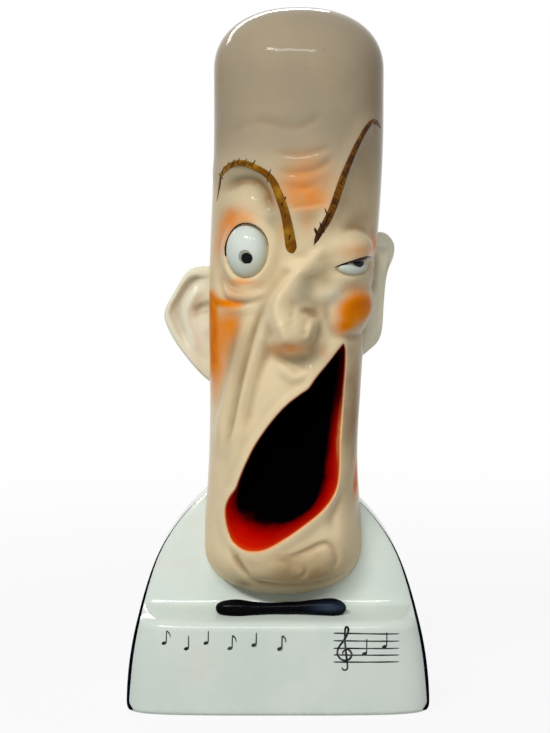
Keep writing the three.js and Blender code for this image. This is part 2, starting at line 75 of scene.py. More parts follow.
# Eyes: place on the face, half sizes across, deep and tall, the ball's centre across and deep, and its turn
# to the side
WIDE_EYE = {"at": (-10.7, 80.4), "half": (5.3, 4.0, 6.4), "centre": (-10.65, -16.35), "turn": -0.5}
WINK_EYE = {"at": (14.3, 76.6), "half": (4.6, 1.8, 2.1), "centre": (13.9, -14.1), "turn": 0.75}
WIDE_OUTLINE, WIDE_OUTER = (4.95, 6.3), 4.2

# Body
BODY_HALF_WIDTH, SHOULDER_HEIGHT = 36.5, 56.5
BODY_BACK, BODY_TOP_BACK = 22.0, 8.0
BODY_POWER, FRONT_BULGE, BACK_DRAFT = 8, 0.06, 0.03
FOOT_ROUND, BODY_WALL = 1.2, 3.4
SHIRT_FRONT, SHIRT_TOP_FRONT, SHELF_TOP = 10.0, 0.0, 24.2
PLINTH_FRONT = 23.0

# Filler neck and cork, on an axis that leans back from the crown
NECK_HEIGHT, NECK_TILT = 150.0, 0.44
NECK_RADIUS, NECK_LIP, NECK_RISE, NECK_SUNK = 7.0, 1.0, 3.8, 5.0
BORE_RADIUS, BORE_TAPER = 5.1, 0.05
CORK_CLEARANCE, CORK_SEATED, CORK_PROUD, CORK_CHAMFER = 0.2, 7.4, 5.15, 0.6


# Small mathematics

DENSE_STEPS, LEAST_STEPS, NEAR_BLOCK = 24, 4, 4000


def ease(x, low, high):
    """A smooth rise from 0 at low to 1 at high: three times the square less twice the cube of the share."""
    t = np.clip((x - low) / (high - low), 0, 1)
    return t * t * (3 - 2 * t)


def bell(x):
    """A soft hump: e to the minus x squared."""
    return np.exp(-x * x)


def plateau(x):
    """A hump with a flat top and steeper sides: e to the minus fourth power."""
    return np.exp(-x ** 4)


def signed_power(x, exponent):
    """A power of a number's size, with the number's sign."""
    return np.sign(x) * np.abs(x) ** exponent


def mix(a, b, t):
    """The value at a share t of the way from a to b."""
    return a + (b - a) * t


def curve_at(points, u, closed=False):
    """Places on a smooth curve through given points, u counting from point to point: on each stretch a
    cubic whose slope at a point is half the run between that point's neighbours."""
    p = np.asarray(points, float)
    if closed:
        stretch = np.floor(u).astype(int) % len(p)
        knots = [p[(stretch + k) % len(p)] for k in (-1, 0, 1, 2)]
        t = (u - np.floor(u))[:, None]
    else:
        p = np.vstack([2 * p[:1] - p[1:2], p, 2 * p[-1:] - p[-2:-1]])
        stretch = np.clip(np.floor(u).astype(int), 0, len(p) - 4)
        knots = [p[stretch + k] for k in range(4)]
        t = (u - stretch)[:, None]
    a, b, c, d = knots
    square, cube = 2 * a - 5 * b + 4 * c - d, 3 * b - a - 3 * c + d
    return 0.5 * (2 * b + (c - a) * t + square * t ** 2 + cube * t ** 3)


def smooth_line(points, spacing):
    """The same curve sampled at equal steps along its length."""
    dense = curve_at(points, np.linspace(0, len(points) - 1, DENSE_STEPS * (len(points) - 1) + 1))
    along = np.concatenate([[0], np.cumsum(np.linalg.norm(np.diff(dense, axis=0), axis=1))])
    steps = np.linspace(0, along[-1], max(LEAST_STEPS, int(along[-1] / spacing) + 1))
    return np.stack([np.interp(steps, along, column) for column in dense.T], axis=1)


def beside(place, path, reach):
    """For places near a line: the distance to it, the side (left of the way along is +1) and the position
    along it as segment number plus share. Places outside the line's box grown by reach get a distance of
    reach."""
    distance = np.full(len(place), float(reach))
    side = np.ones(len(place))
    along = np.zeros(len(place))
    near = np.flatnonzero(((place > path.min(0) - reach) & (place < path.max(0) + reach)).all(axis=1))
    start, run = path[:-1], np.diff(path, axis=0)
    for block in np.array_split(near, max(1, len(near) // NEAR_BLOCK)):
        offset = place[block][:, None] - start
        share = np.clip((offset * run).sum(2) / (run * run).sum(1), 0, 1)
        gap = ((offset - share[..., None] * run) ** 2).sum(2)
        best = gap.argmin(1)
        pick = np.arange(len(block)), best
        distance[block] = np.sqrt(gap[pick])
        cross = run[best, 0] * offset[pick][:, 1] - run[best, 1] * offset[pick][:, 0]
        side[block] = np.where(cross < 0, -1, 1)
        along[block] = best + share[pick]
    return distance, side, along


# Meshes

def grid_squares(rows, columns, close_rows=False):
    """Corner numbers of the squares of a grid of points, numbered row by row, whose columns run round and
    close."""
    i = np.arange(rows if close_rows else rows - 1)[:, None]
    j = np.arange(columns)[None]
    here, above, beside_it = i * columns, (i + 1) % rows * columns, (j + 1) % columns
    return np.stack([here + j, here + beside_it, above + beside_it, above + j], axis=-1).reshape(-1, 4)


def halves(squares):
    """Each square as two triangles."""
    return np.vstack([squares[:, [0, 1, 2]], squares[:, [0, 2, 3]]])


def lattice(rows, columns, close_rows=False):
    """Triangles of such a grid."""
    return halves(grid_squares(rows, columns, close_rows))


def fan(ring, pole):
    """Triangles from a closed ring of point numbers to one pole."""
    return np.stack([np.full(len(ring), pole), ring, np.roll(ring, -1)], axis=1)


def closed_skin(rings, foot=None, top=None):
    """Points and triangles of a skin over rings that run anticlockwise about the way from foot to top. An end
    that isn't given closes at the middle of its ring."""
    rows, columns = rings.shape[:2]
    foot = rings[0].mean(0) if foot is None else foot
    top = rings[-1].mean(0) if top is None else top
    points = np.vstack([rings.reshape(-1, 3), foot, top])
    ring = np.arange(columns)
    last = ring + (rows - 1) * columns
    faces = [lattice(rows, columns), fan(ring, rows * columns)[:, ::-1], fan(last, rows * columns + 1)]
    return points, np.vstack(faces)


def join(parts):
    """Several point and triangle sets as one."""
    starts = np.cumsum([0] + [len(points) for points, _ in parts[:-1]])
    return np.vstack([p for p, _ in parts]), np.vstack([f + s for (_, f), s in zip(parts, starts)])


def make_piece(name, shape, finish, stands_for=(), body="flask", values=None):
    """A smooth-shaded mesh from points in millimetres, with named values per point, riding on a body."""
    points, faces = shape
    mesh = bpy.data.meshes.new(name)
    mesh.from_pydata((points * MM).tolist(), [], faces.tolist())
    mesh.polygons.foreach_set("use_smooth", np.ones(len(mesh.polygons), dtype=bool))
    for key, value in (values or {}).items():
        flat = value.ndim == 1
        layer = mesh.attributes.new(key, "FLOAT" if flat else "FLOAT_VECTOR", "POINT")
        layer.data.foreach_set("value" if flat else "vector", np.ascontiguousarray(value, np.float32).ravel())
    mesh.materials.append(finish)
    mesh.update()
    piece = bpy.data.objects.new(name, mesh)
    bpy.context.collection.objects.link(piece)
    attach(piece, body)
    if stands_for:
        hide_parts(*stands_for)
    return piece


# The smooth head

def head_x(z):
    """Where the head's leaning axis stands at a height."""
    return HEAD_X + HEAD_LEAN * ease(z - FACE_BASE, LEAN_FROM, LEAN_TO)


def head_half_width(z):
    """The head's half width at a height, with a soft pinch at the jaw."""
    return HEAD_HALF_WIDTH - JAW_PINCH * bell((z - FACE_BASE - JAW_PINCH_HEIGHT) / JAW_PINCH_SPREAD)


def head_taper(z):
    """Share of the full section left at a height, and the upward part of the outward direction: both follow a
    superellipse over the crown and under the chin."""
    over = np.clip((z - HEAD_TOP + CROWN_ROUND) / CROWN_ROUND, 0, 1)
    under = np.clip((HEAD_FOOT + CHIN_ROUND - z) / CHIN_ROUND, 0, 1)
    beyond = np.maximum(over, under)
    share = (1 - beyond ** ROUND_POWER) ** (1 / ROUND_POWER)
    return share, np.where(over > 0, 1, -1) * beyond ** (ROUND_POWER / 2)


# The modelled face: across from the leaning axis and up from the face's base, heights in millimetres

# Soft swellings or hollows: place, size, height
MOUNDS = [
    ((-11.0, 70.3), (5.0, 1.9), 1.1),
    ((-11.7, 90.8), (5.0, 3.2), 1.5),
    ((13.4, 81.6), (4.7, 2.7), 2.3),
    ((14.3, 76.5), (5.0, 1.5), -0.95),
    ((14.5, 73.6), (4.4, 1.7), 0.8),
    ((2.6, 86.0), (2.4, 4.4), 0.25),
    ((1.0, 100.0), (8.0, 9.0), 0.7),
    ((8.4, 70.8), (3.0, 2.3), 1.5),
    ((-1.0, 48.0), (6.0, 6.5), 0.9),
    ((3.4, 5.6), (6.5, 4.0), 0.9),
    ((-3.6, 6.4), (4.0, 3.2), 0.8),
    ((12.6, 11.5), (4.2, 6.0), 1.3),
    ((-12.6, 8.0), (3.0, 4.5), 0.6),
]

# Where the tinted glaze has run thick, and painted shade on the chin, the right jaw, the crown's sides and
# other places turned from the light: place, size, share
POOL_SHADE_PATCHES = [
    ((4.5, 5.5), (10.0, 4.6), 0.85),
    ((4.8, 6.8), (6.0, 3.2), 0.75),
    ((15.8, 44.0), (3.4, 18.0), 1.0),
    ((1.6, 96.0), (5.4, 6.0), 0.4),
    ((2.0, 89.0), (3.0, 3.0), 0.25),
    ((19.0, 76.0), (1.4, 8.0), 0.6),
    ((5.7, 67.6), (1.3, 1.5), 0.5),
    ((4.8, 61.4), (1.8, 2.8), 0.4),
    ((18.8, 120.0), (2.6, 16.0), 0.45),
    ((-19.0, 118.0), (2.0, 16.0), 0.35),
    ((-9.6, 1.0), (2.0, 1.6), 0.8),
    ((10.6, 90.6), (2.6, 6.0), 0.4),
    ((15.6, 98.0), (3.6, 12.0), 0.4),
    ((-13.0, 60.0), (2.8, 7.6), 0.85),
    ((-16.8, 84.5), (2.2, 5.5), 0.6),
    ((7.4, 75.0), (1.4, 3.6), 0.5),
    ((14.4, 87.8), (4.6, 2.6), 0.4),
    ((18.6, 81.6), (0.9, 3.4), 0.5),
]

# Painted shade, grey-green, in grooves and on places turned from the light: patches as above, and
# lines with their width and share
GREY_SHADE_PATCHES = [
    ((3.6, 71.6), (2.6, 3.4), 0.6), ((8.0, 74.4), (2.2, 2.2), 0.3), ((14.0, 73.4), (4.0, 1.2), 0.4),
    ((12.6, 92.0), (2.6, 6.0), 0.35), ((-1.0, 60.0), (1.6, 1.6), 0.2), ((3.6, 55.6), (3.4, 1.4), 0.5),
]
CHEEK_CREASE = [(-5.6, 69), (-7.8, 61.5), (-9.4, 53.8), (-11.3, 45), (-13, 34)]
GREY_SHADE_LINES = [
    ([(-17.2, 91.8), (-16, 95.2), (-13.6, 96.9), (-11, 96.9), (-8.4, 95.4), (-6.6, 92.6), (-5.4, 88.6),
      (-5, 84)], 1.5, 0.75),
    (CHEEK_CREASE, 0.9, 0.35),
]

# Painted highlights: pale patches where light falls on the right cheek and the right jaw
HIGHLIGHT_PATCHES = [
    ((16.6, 19.0), (1.6, 6.0), 0.2), ((9.2, 70.6), (3.2, 1.9), 0.6), ((14.6, 61.2), (3.2, 1.0), 0.4),
]

# Where orange is brushed on: soft patches, a ball with a flat top, strokes with their width and the amounts
# along them, and the frown's band with the heights between which it comes and goes
ROUGE_PATCHES = [
    ((2.4, 86.8), (2.4, 3.2), 0.34), ((-3.0, 85.5), (1.0, 4.0), 0.35), ((-13.4, 88.6), (4.0, 2.8), 0.4),
    ((-13.8, 62.8), (3.1, 4.8), 0.78), ((-14.9, 56.4), (2.0, 5.0), 0.45), ((13.0, 63.4), (2.4, 2.4), 1.15),
    ((14.6, 71.4), (4.6, 2.2), 0.4), ((0.0, 58.3), (5.0, 2.3), 0.6), ((18.4, 80.8), (1.6, 2.6), 0.85),
    ((13.6, 80.4), (5.0, 2.4), 0.4), ((-10.6, 73.4), (4.4, 0.9), 0.5), ((-11.4, 71.2), (5.2, 2.4), 0.34),
    ((17.2, 26.5), (1.0, 4.8), 1.5), ((15.6, 42.0), (2.6, 12.0), 0.16), ((8.6, 56.8), (1.1, 2.0), 0.3),
]
ROUGE_BALL = ((15.4, 66.8), (5.1, 3.7), 0.97)
ROUGE_STROKES = [
    ([(-8.6, 87.6), (-11.4, 87.9), (-13.6, 86.8), (-15, 84.4), (-15.6, 80.6)], 1.8,
     [0.2, 0.44, 0.48, 0.4, 0.12]),
    ([(-14.5, 88.8), (-16.8, 85.6), (-17.8, 80), (-17.2, 75.5)], 2.0, [0.3, 0.45, 0.4, 0.12]),
    ([(-19.2, 68.4), (-18.4, 62.9), (-17.8, 57.2), (-17, 51.6), (-16.2, 42)], 2.0,
     [1.4, 1.5, 1.3, 0.7, 0.1]),
    ([(-18.4, 68.0), (-15.3, 67.8), (-11.6, 68.0)], 1.0, [1.2, 1.1, 0.4]),
]
ROUGE_REACH = 3.0
FROWN, FROWN_X, FROWN_WIDTH, FROWN_RISE, FROWN_FALL = 0.62, 1.6, 7.6, (88.0, 92.2), (92.0, 111.0)
ROUGE_COVER, ROUGE_THICK_FROM, ROUGE_THICK_SHARE = 0.93, 0.9, 0.25

# Round swellings with steeper sides
BOSSES = [((15.2, 66.0), (5.3, 4.8), 1.2)]

# Ridges, or creases where the height is negative: line, height, width on its left and on its right
RIDGES = [
    ([(-18.2, 92.5), (-17.2, 97.7), (-14.9, 100.2), (-12.5, 100.8), (-9.4, 99.9), (-5.9, 97.5), (-3.9, 93.5),
      (-2.1, 89.1), (-0.1, 79.6)], 1.2, 3.2, 1.4),
    ([(4.4, 82.3), (6.7, 87.2), (8.8, 93.5), (11, 100.6), (14.1, 107.4), (15.5, 109.4), (17, 110.3),
      (19.4, 108.3)], 1.0, 2.1, 1.9),
    ([(-17.0, 92.6), (-15.2, 95.6), (-12.2, 96.6), (-9.1, 95.9), (-7.0, 93.2), (-5.6, 88.6)], -1.6, 1.3, 1.4),
    ([(-6.6, 104), (-1.7, 102.9), (1.1, 102.9), (4.3, 103.6), (8.5, 105)], -0.42, 1.2, 1.0),
    ([(-6.1, 100.1), (-1.9, 98.7), (1.3, 98.7), (4.4, 99.6), (6.9, 101.5), (7.6, 104)], -0.46, 1.1, 1.0),
    ([(-4.5, 96.6), (-0.6, 95.3), (1.7, 95.1), (5.5, 96.6)], -0.42, 1.0, 1.0),
    ([(-12, 111), (-5.6, 109.8), (-1.6, 109.1), (1.3, 109.6), (6.1, 112.6)], -0.36, 1.4, 1.2),
    ([(-17.3, 106.6), (-13.1, 109.2), (-8.3, 110.2)], -0.2, 1.4, 1.4),
    ([(-2.2, 89.7), (0.8, 90.2), (3.9, 90.5), (7.2, 91.2)], 0.6, 0.5, 1.8),
    ([(-17, 76), (-16.3, 71.6), (-14.8, 69), (-11.7, 68.3), (-8.1, 69), (-4.6, 71.8)], -0.55, 0.7, 0.9),
    ([(-16.4, 75.4), (-15.8, 73.2), (-14.2, 71.4), (-12.0, 70.8), (-9.4, 71.0)], -0.34, 0.5, 0.5),
    ([(-15.4, 74.6), (-14.6, 72.9), (-13.0, 72.2), (-11.0, 72.0)], -0.26, 0.45, 0.45),
    ([(-16.6, 66.4), (-12.7, 66.7), (-9.9, 67.6), (-6.4, 69.6)], 0.5, 0.8, 1.2),
    ([(-4.2, 71.5), (-6.0, 64.6), (-7.3, 58.8), (-8.5, 52.5), (-10, 43), (-12.6, 28)], 1.4, 1.5, 1.3),
    (CHEEK_CREASE, -0.85, 1.2, 1.3),
    ([(-9.2, 67.4), (-11, 58.1), (-12.2, 51.6), (-13.6, 43.4), (-15.4, 31)], 1.1, 1.4, 1.5),
    ([(-12.2, 64), (-13.9, 53), (-15.6, 40)], -0.4, 1.2, 1.5),
    ([(-3.8, 59.6), (-5.4, 54.2), (-7.2, 47.4), (-9.4, 38)], -0.8, 1.4, 1.3),
    ([(7.6, 69.1), (9.2, 65), (10.6, 62.2), (12.6, 60.3), (16.4, 59.8), (20.5, 60.6)], -0.6, 1.2, 1.3),
    ([(9.0, 76.4), (12.4, 77.7), (14.7, 78.2), (18.8, 78.1)], 1.5, 2.2, 0.5),
    ([(9.6, 84.4), (12.4, 85.6), (15.2, 85.4), (17.5, 83.4), (18.6, 79.6)], -0.8, 1.7, 0.9),
    ([(-3.4, 55.2), (0, 52.6), (2.6, 51.4), (6.4, 53.4)], 0.6, 0.9, 0.9),
    ([(0.6, 55.6), (3.4, 55.1), (5.8, 56.2), (8.2, 60.2)], -0.7, 1.6, 1.6),
    ([(15.4, 59), (16.2, 45), (15.6, 33), (14.8, 21)], 1.0, 2.0, 2.0),
    ([(-2.4, 7.9), (1.2, 8.7), (5.1, 10.1), (8.4, 11.6), (10.2, 11.8), (11.7, 9.9), (12.2, 7.2), (11.2, 4.4)],
     -0.75, 0.7, 0.9),
    ([(1.0, 6.6), (2.6, 7.4), (4.4, 7.0), (5.2, 5.9), (4.7, 4.7), (3.4, 4.4), (2.8, 5.2)], -0.7, 0.6, 0.6),
    ([(-12.4, 11.6), (-10.5, 7.2), (-9, 4.9), (-6.5, 2.3)], -0.75, 0.9, 0.9),
    ([(-10.0, 3.4), (-2.7, 2.0), (3.9, 1.7), (9.6, 2.1), (15.6, 4.4)], -0.6, 0.9, 1.1),
    ([(14.2, 25.9), (12.4, 20.3), (11.4, 16.8), (11.4, 12.6)], -0.5, 1.2, 1.3),
]
RIDGE_SPACING = 0.6
RIDGE_REACH = 3.2
RIDGE_FADE, RIDGE_FADE_SHARE, RIDGE_FADE_MOST, RIDGE_BLUNT = 4.5, 0.22, 0.4, 0.05

# The rim and dish of the wide eye's socket, as shares of the eyeball's outline
SOCKET_RIM, SOCKET_RIM_AT, SOCKET_RIM_INNER, SOCKET_RIM_OUTER = 1.3, 1.08, 0.08, 0.3
SOCKET_DISH, SOCKET_DISH_EDGE, SOCKET_DISH_POWER = 2.2, 0.84, 6

# The rolled rim of the lips
LIP_ROLL, LIP_ROLL_WIDTH = 0.8, 1.7

# Nose: a crest that wanders to the left on its way down, steep on that side and broad on the other, a bulb
# and a wing, merged and pushed straight forward
NOSE_LINE = [
    (6.0, 80.4), (4.4, 78.8), (2.2, 76.6), (-0.1, 74.2), (-1.8, 72.0), (-3.0, 69.6), (-3.2, 67.0),
    (-2.4, 64.2), (-0.6, 61.6),
]
NOSE_RISE = [0.5, 1.6, 2.6, 3.8, 4.8, 5.6, 6.2, 6.4, 5.0]
NOSE_WIDTH_RIGHT = [1.4, 2.2, 3.4, 4.4, 4.8, 4.8, 4.6, 4.0, 3.0]
NOSE_WIDTH_LEFT = [1.4, 1.9, 2.1, 2.0, 1.9, 1.9, 2.1, 2.5, 3.0]
NOSE_CREST, NOSE_BULB, NOSE_MERGE, NOSE_REACH = 1.9, 3.0, 2.7, 16.0
NOSE_BULBS = [((0.5, 61.2), (4.9, 7.2, 4.0), 6.1), ((2.4, 76.9), (3.8, 2.4, 2.4), 2.2)]
NOSE_WING = ([(4.4, 66.4), (4.9, 64.6), (5.0, 62.6), (4.6, 60.6), (3.8, 58.0)], 4.6, 1.5, 1.9)
NOSE_DETAIL = [((2.2, 70.2), (3.0, 2.6), 0.6)]
NOSE_GROOVES = [
    ([(0.2, 68.4), (0.3, 66), (0.7, 63)], -0.2, 1.0),
    ([(1.4, 67.2), (3.4, 67.0), (5.6, 66.2), (7.2, 64.6)], -0.8, 0.9),
]


def ridge_height(place, line, height, left, right):
    """A ridge along a line: its height, which fades towards both ends, times a bell of the distance over the
    width of that side."""
    path = smooth_line(line, RIDGE_SPACING)
    distance, side, along = beside(place, path, RIDGE_REACH * max(left, right))
    count = len(path) - 1
    fade = min(max(RIDGE_FADE / RIDGE_SPACING, RIDGE_FADE_SHARE * count), RIDGE_FADE_MOST * count)
    ends = ease(np.minimum(along, count - along), -RIDGE_BLUNT * fade, fade)
    return height * ends * bell(distance / np.where(side > 0, left, right))


def reach_of(place, at, size):
    """Distance from a place as a share of an ellipse's half sizes."""
    return np.hypot((place[:, 0] - at[0]) / size[0], (place[:, 1] - at[1]) / size[1])


def soft_patches(place, patches):
    """Each patch of a table at each place: its amount times a bell of the reach."""
    return [amount * bell(reach_of(place, at, size)) for at, size, amount in patches]


def lip_line(steps=LIP_STEPS):
    """The lips' closed outline, in even steps between its points."""
    return curve_at(LIPS, np.linspace(0, len(LIPS), len(LIPS) * steps + 1), closed=True)


def face_relief(place):
    """Height of the modelled face over the smooth head: the sum of its mounds, bosses, ridges, socket and
    lips."""
    height = sum(soft_patches(place, MOUNDS))
    for at, size, rise in BOSSES:
        height += rise * plateau(reach_of(place, at, size))
    for line, rise, left, right in RIDGES:
        height += ridge_height(place, line, rise, left, right)
    across = np.where(place[:, 0] < WIDE_EYE["at"][0], WIDE_OUTER, WIDE_OUTLINE[0])
    reach = reach_of(place, WIDE_EYE["at"], (across, WIDE_OUTLINE[1]))
    inner = reach < SOCKET_RIM_AT
    height += SOCKET_RIM * bell((reach - SOCKET_RIM_AT) / np.where(inner, SOCKET_RIM_INNER, SOCKET_RIM_OUTER))
    height -= SOCKET_DISH * bell((reach / SOCKET_DISH_EDGE) ** SOCKET_DISH_POWER)
    distance, _, _ = beside(place, lip_line(LIP_COARSE_STEPS), RIDGE_REACH * LIP_ROLL_WIDTH)
    return height + LIP_ROLL * bell(distance / LIP_ROLL_WIDTH)


def nose_push(place):
    """How far the nose stands forward: a crest that rises and widens on its way down, bulbs and a wing,
    merged by the root of the sum of their powers, with small swellings and grooves on them."""
    path = smooth_line(NOSE_LINE, RIDGE_SPACING)
    distance, side, along = beside(place, path, NOSE_REACH)
    share = along / (len(path) - 1)
    knots = np.linspace(0, 1, len(NOSE_RISE))
    along_it = NOSE_RISE, NOSE_WIDTH_RIGHT, NOSE_WIDTH_LEFT
    rise, right, left = [np.interp(share, knots, values) for values in along_it]
    crest = rise * np.exp(-(distance / np.where(side > 0, right, left)) ** NOSE_CREST)
    forms = [crest, ridge_height(place, *NOSE_WING)]
    for at, (wide, above, below), rise in NOSE_BULBS:
        tall = np.where(place[:, 1] > at[1], above, below)
        forms.append(rise * np.exp(-reach_of(place, at, (wide, tall)) ** NOSE_BULB))
    push = sum(form ** NOSE_MERGE for form in forms) ** (1 / NOSE_MERGE)
    push += sum(soft_patches(place, NOSE_DETAIL))
    for line, depth, width in NOSE_GROOVES:
        push += ridge_height(place, line, depth, width, width)
    return push


def face_place(turn, z):
    """Place on the face, across from the leaning axis and up from the base, of a turn and a height."""
    width = head_half_width(z) * head_taper(z)[0]
    return np.stack([width * signed_power(np.cos(turn), 2 / SECTION_POWER), z - FACE_BASE], axis=1)


def head_surface(turn, z, modelled=True):
    """Points of the head: at each height a superellipse about the leaning axis, tapered over crown and chin,
    then moved out by the face's relief and forward by its nose. Also gives the relief and the places."""
    shape = turn.shape
    turn, z = turn.ravel(), z.ravel()
    place = face_place(turn, z)
    deep = signed_power(np.sin(turn), 2 / SECTION_POWER)
    share, up = head_taper(z)
    facing = ease(-deep, *FACE_BLEND)
    relief = np.zeros(len(z))
    push = np.zeros(len(z))
    front = np.flatnonzero((facing > 0) & modelled)
    if len(front):
        relief[front] = facing[front] * face_relief(place[front])
        push[front] = facing[front] * nose_push(place[front])
    level = np.sqrt(1 - up * up)
    points = np.stack([
        head_x(z) + place[:, 0] + relief * np.cos(turn) * level,
        HEAD_Y + HEAD_HALF_DEPTH * share * deep + relief * np.sin(turn) * level - push,
        z + relief * up,
    ], axis=1)
    return points.reshape(*shape, 3), (relief + push).reshape(shape), place.reshape(*shape, 2)


def face_turn(place):
    """The turn about the head's axis at which a place on the face lies."""
    z = FACE_BASE + place[:, 1]
    across = np.clip(place[:, 0] / (head_half_width(z) * head_taper(z)[0]), -1, 1)
    return 2 * np.pi - np.arccos(signed_power(across, SECTION_POWER / 2)), z


def surface_frame(surface, u, v, step_u, step_v):
    """Points of a surface and its outward normals, from small steps along both parameters."""
    points = surface(u, v)
    along_u = surface(u + step_u, v) - surface(u - step_u, v)
    along_v = surface(u, v + step_v) - surface(u, v - step_v)
    normals = np.cross(along_u, along_v)
    return points, normals / np.linalg.norm(normals, axis=1, keepdims=True)


TURN_STEP, RISE_STEP = 0.004, 0.08


def on_face(place):
    """Points of the modelled head at places on the face, and the normals there."""
    turn, z = face_turn(place)
    return surface_frame(lambda u, v: head_surface(u, v)[0], turn, z, TURN_STEP, RISE_STEP)


# Painted strokes

STROKE_SIDES, STROKE_TIP = 10, 0.05


def stroke(points, normals, half_width, thickness):
    """A brush stroke as a flattened tube along a line on a surface: each section is an ellipse, its half
    width across the line and its thickness along the surface's normal, and the ends close to a point."""
    run = np.gradient(points, axis=0)
    run /= np.linalg.norm(run, axis=1, keepdims=True)
    across = np.cross(run, normals)
    turn = np.arange(STROKE_SIDES) * 2 * np.pi / STROKE_SIDES
    flat = across[:, None] * (half_width[:, None] * np.cos(turn))[..., None]
    rise = normals[:, None] * (thickness * np.sin(turn))[:, None]
    rings = points[:, None] + flat + rise
    return closed_skin(rings[:, ::-1], points[0], points[-1])


def stroke_width(count, widths, blunt):
    """Half widths along a stroke, from given ones at equal shares of it, with round ends."""
    share = np.linspace(0, 1, count)
    width = np.interp(share, np.linspace(0, 1, len(widths)), widths)
    ends = np.minimum(share, 1 - share) / blunt
    return width * np.sqrt(np.clip(1 - (1 - np.clip(ends, STROKE_TIP, 1)) ** 2, 0, 1))


def paint_stroke(surface_at, line, widths, thickness, spacing, blunt):
    """A brush stroke along a smooth line on a surface, with half widths at equal shares of its length."""
    points, normals = surface_at(smooth_line(line, spacing))
    return stroke(points, normals, stroke_width(len(points), widths, blunt), thickness)


# Materials

GLAZE_IOR, PEEL_DEPTH, GRAIN_DEPTH, PIT_DEPTH = 1.5, 0.0012, 0.0004, 0.0005


def set_inputs(tree, target, values):
    """Sets a node's inputs to constants, or links them to other nodes' outputs."""
    for key, value in values.items():
        if isinstance(value, bpy.types.NodeSocket):
            tree.links.new(value, target.inputs[key])
        else:
            target.inputs[key].default_value = value


def node(tree, kind, inputs=None, out=0, **settings):
    """One shader node's output: settings are the node's own properties."""
    made = tree.nodes.new(kind)
    for key, value in settings.items():
        setattr(made, key, value)
    set_inputs(tree, made, inputs or {})
    return made.outputs[out]


def new_material(name):
    """A material, its node tree, its shader and the place on the object."""
    material = bpy.data.materials.new(name)
    material.use_nodes = True
    tree = material.node_tree
    return material, tree, tree.nodes["Principled BSDF"], node(tree, "ShaderNodeTexCoord", out=3)


def point_value(tree, name, vector=False):
    """A named value that the mesh carries at each point."""
    return node(tree, "ShaderNodeAttribute", out=1 if vector else 2, attribute_name=name)


def noise(tree, place, scale, detail=3.0, rough=0.5):
    """Soft noise, mostly between 0.3 and 0.7."""
    settings = {"Vector": place, "Scale": scale, "Detail": detail, "Roughness": rough}
    return node(tree, "ShaderNodeTexNoise", settings)


def calc(tree, operation, a, b):
    """One step of arithmetic on two values."""
    return node(tree, "ShaderNodeMath", {0: a, 1: b}, operation=operation)


def times(tree, a, b):
    """The product of two values."""
    return calc(tree, "MULTIPLY", a, b)


def length(tree, vector):
    """How long a vector is."""
    return node(tree, "ShaderNodeVectorMath", {0: vector}, out=1, operation="LENGTH")


def fit(tree, value, low, high, to_low=0.0, to_high=1.0, smooth=True):
    """A value's run from low to high as a run between two others, eased at its ends unless smooth is off."""
    kind = "SMOOTHSTEP" if smooth else "LINEAR"
    sockets = {"Value": value, "From Min": low, "From Max": high, "To Min": to_low, "To Max": to_high}
    return node(tree, "ShaderNodeMapRange", sockets, interpolation_type=kind)


def blend(tree, factor, a, b):
    """Colour a turning into colour b."""
    return node(tree, "ShaderNodeMix", {0: factor, 6: a, 7: b}, out=2, data_type="RGBA")


def ramp(tree, value, stops):
    """Colours by value, from pairs of position and colour."""
    made = tree.nodes.new("ShaderNodeValToRGB")
    elements = made.color_ramp.elements
    while len(elements) < len(stops):
        elements.new(0.5)
    for element, (position, colour) in zip(elements, stops):
        element.position = position
        element.color = colour
    tree.links.new(value, made.inputs[0])
    return made.outputs[0]


def bump(tree, height, strength, distance):
    """Normals of a surface roughened by a height."""
    return node(tree, "ShaderNodeBump", {"Height": height, "Strength": strength, "Distance": distance})


def plug(tree, shader, **sockets):
    """Sets or links a shader's inputs by name, with an underscore for each space."""
    set_inputs(tree, shader, {key.replace("_", " "): value for key, value in sockets.items()})


def srgb(red, green, blue):
    """A colour given as it looks on screen, in parts of 255."""
    c = np.array([red, green, blue]) / 255
    linear = np.where(c <= 0.04045, c / 12.92, ((c + 0.055) / 1.055) ** 2.4)
    return (*linear.tolist(), 1.0)


def specked(tree, place, colour, scale, size, share, tone):
    """A colour with pinholes and iron specks in a share of another: the inside of small balls about scattered
    points."""
    cells = node(tree, "ShaderNodeTexVoronoi", {"Vector": place, "Scale": scale})
    return blend(tree, times(tree, fit(tree, cells, size, size * 0.5), share), colour, tone)


def glaze(name, paint, rough, ripple):
    """A glazed finish: the colour and gloss that a paint gives under glass whose roughness drifts a little,
    with slow ripples and a fine peel in its surface."""
    material, tree, shader, place = new_material(name)
    colour, gloss = paint(tree, place)
    drift = noise(tree, place, 160.0, 4.0)
    peel = calc(tree, "ADD", noise(tree, place, 260.0, 2.0), times(tree, noise(tree, place, 1500.0), 0.12))
    plug(tree, shader, Base_Color=colour, Specular_IOR_Level=gloss, IOR=GLAZE_IOR)
    plug(tree, shader, Roughness=fit(tree, drift, 0.3, 0.7, *rough))
    plug(tree, shader, Normal=bump(tree, peel, ripple, PEEL_DEPTH))
    return material


FLESH_LIGHT = srgb(224, 205, 166)
FLESH_WARM = srgb(216, 188, 146)
FLESH_GREY = srgb(159, 145, 121)
# Pale tint of the ears, also used for painted highlights on the face
FLESH_PALE = srgb(224, 219, 195)
# Colour of glaze run thick, also used as painted shade in hollows and on sides turned from the light
FLESH_POOL_SHADE = srgb(138, 105, 62)
# Colour of the grey painted shade in grooves and beside the nose
FLESH_SHADE_GREY = srgb(158, 153, 126)
ORANGE = srgb(232, 132, 6)
ORANGE_DEEP = srgb(218, 112, 0)


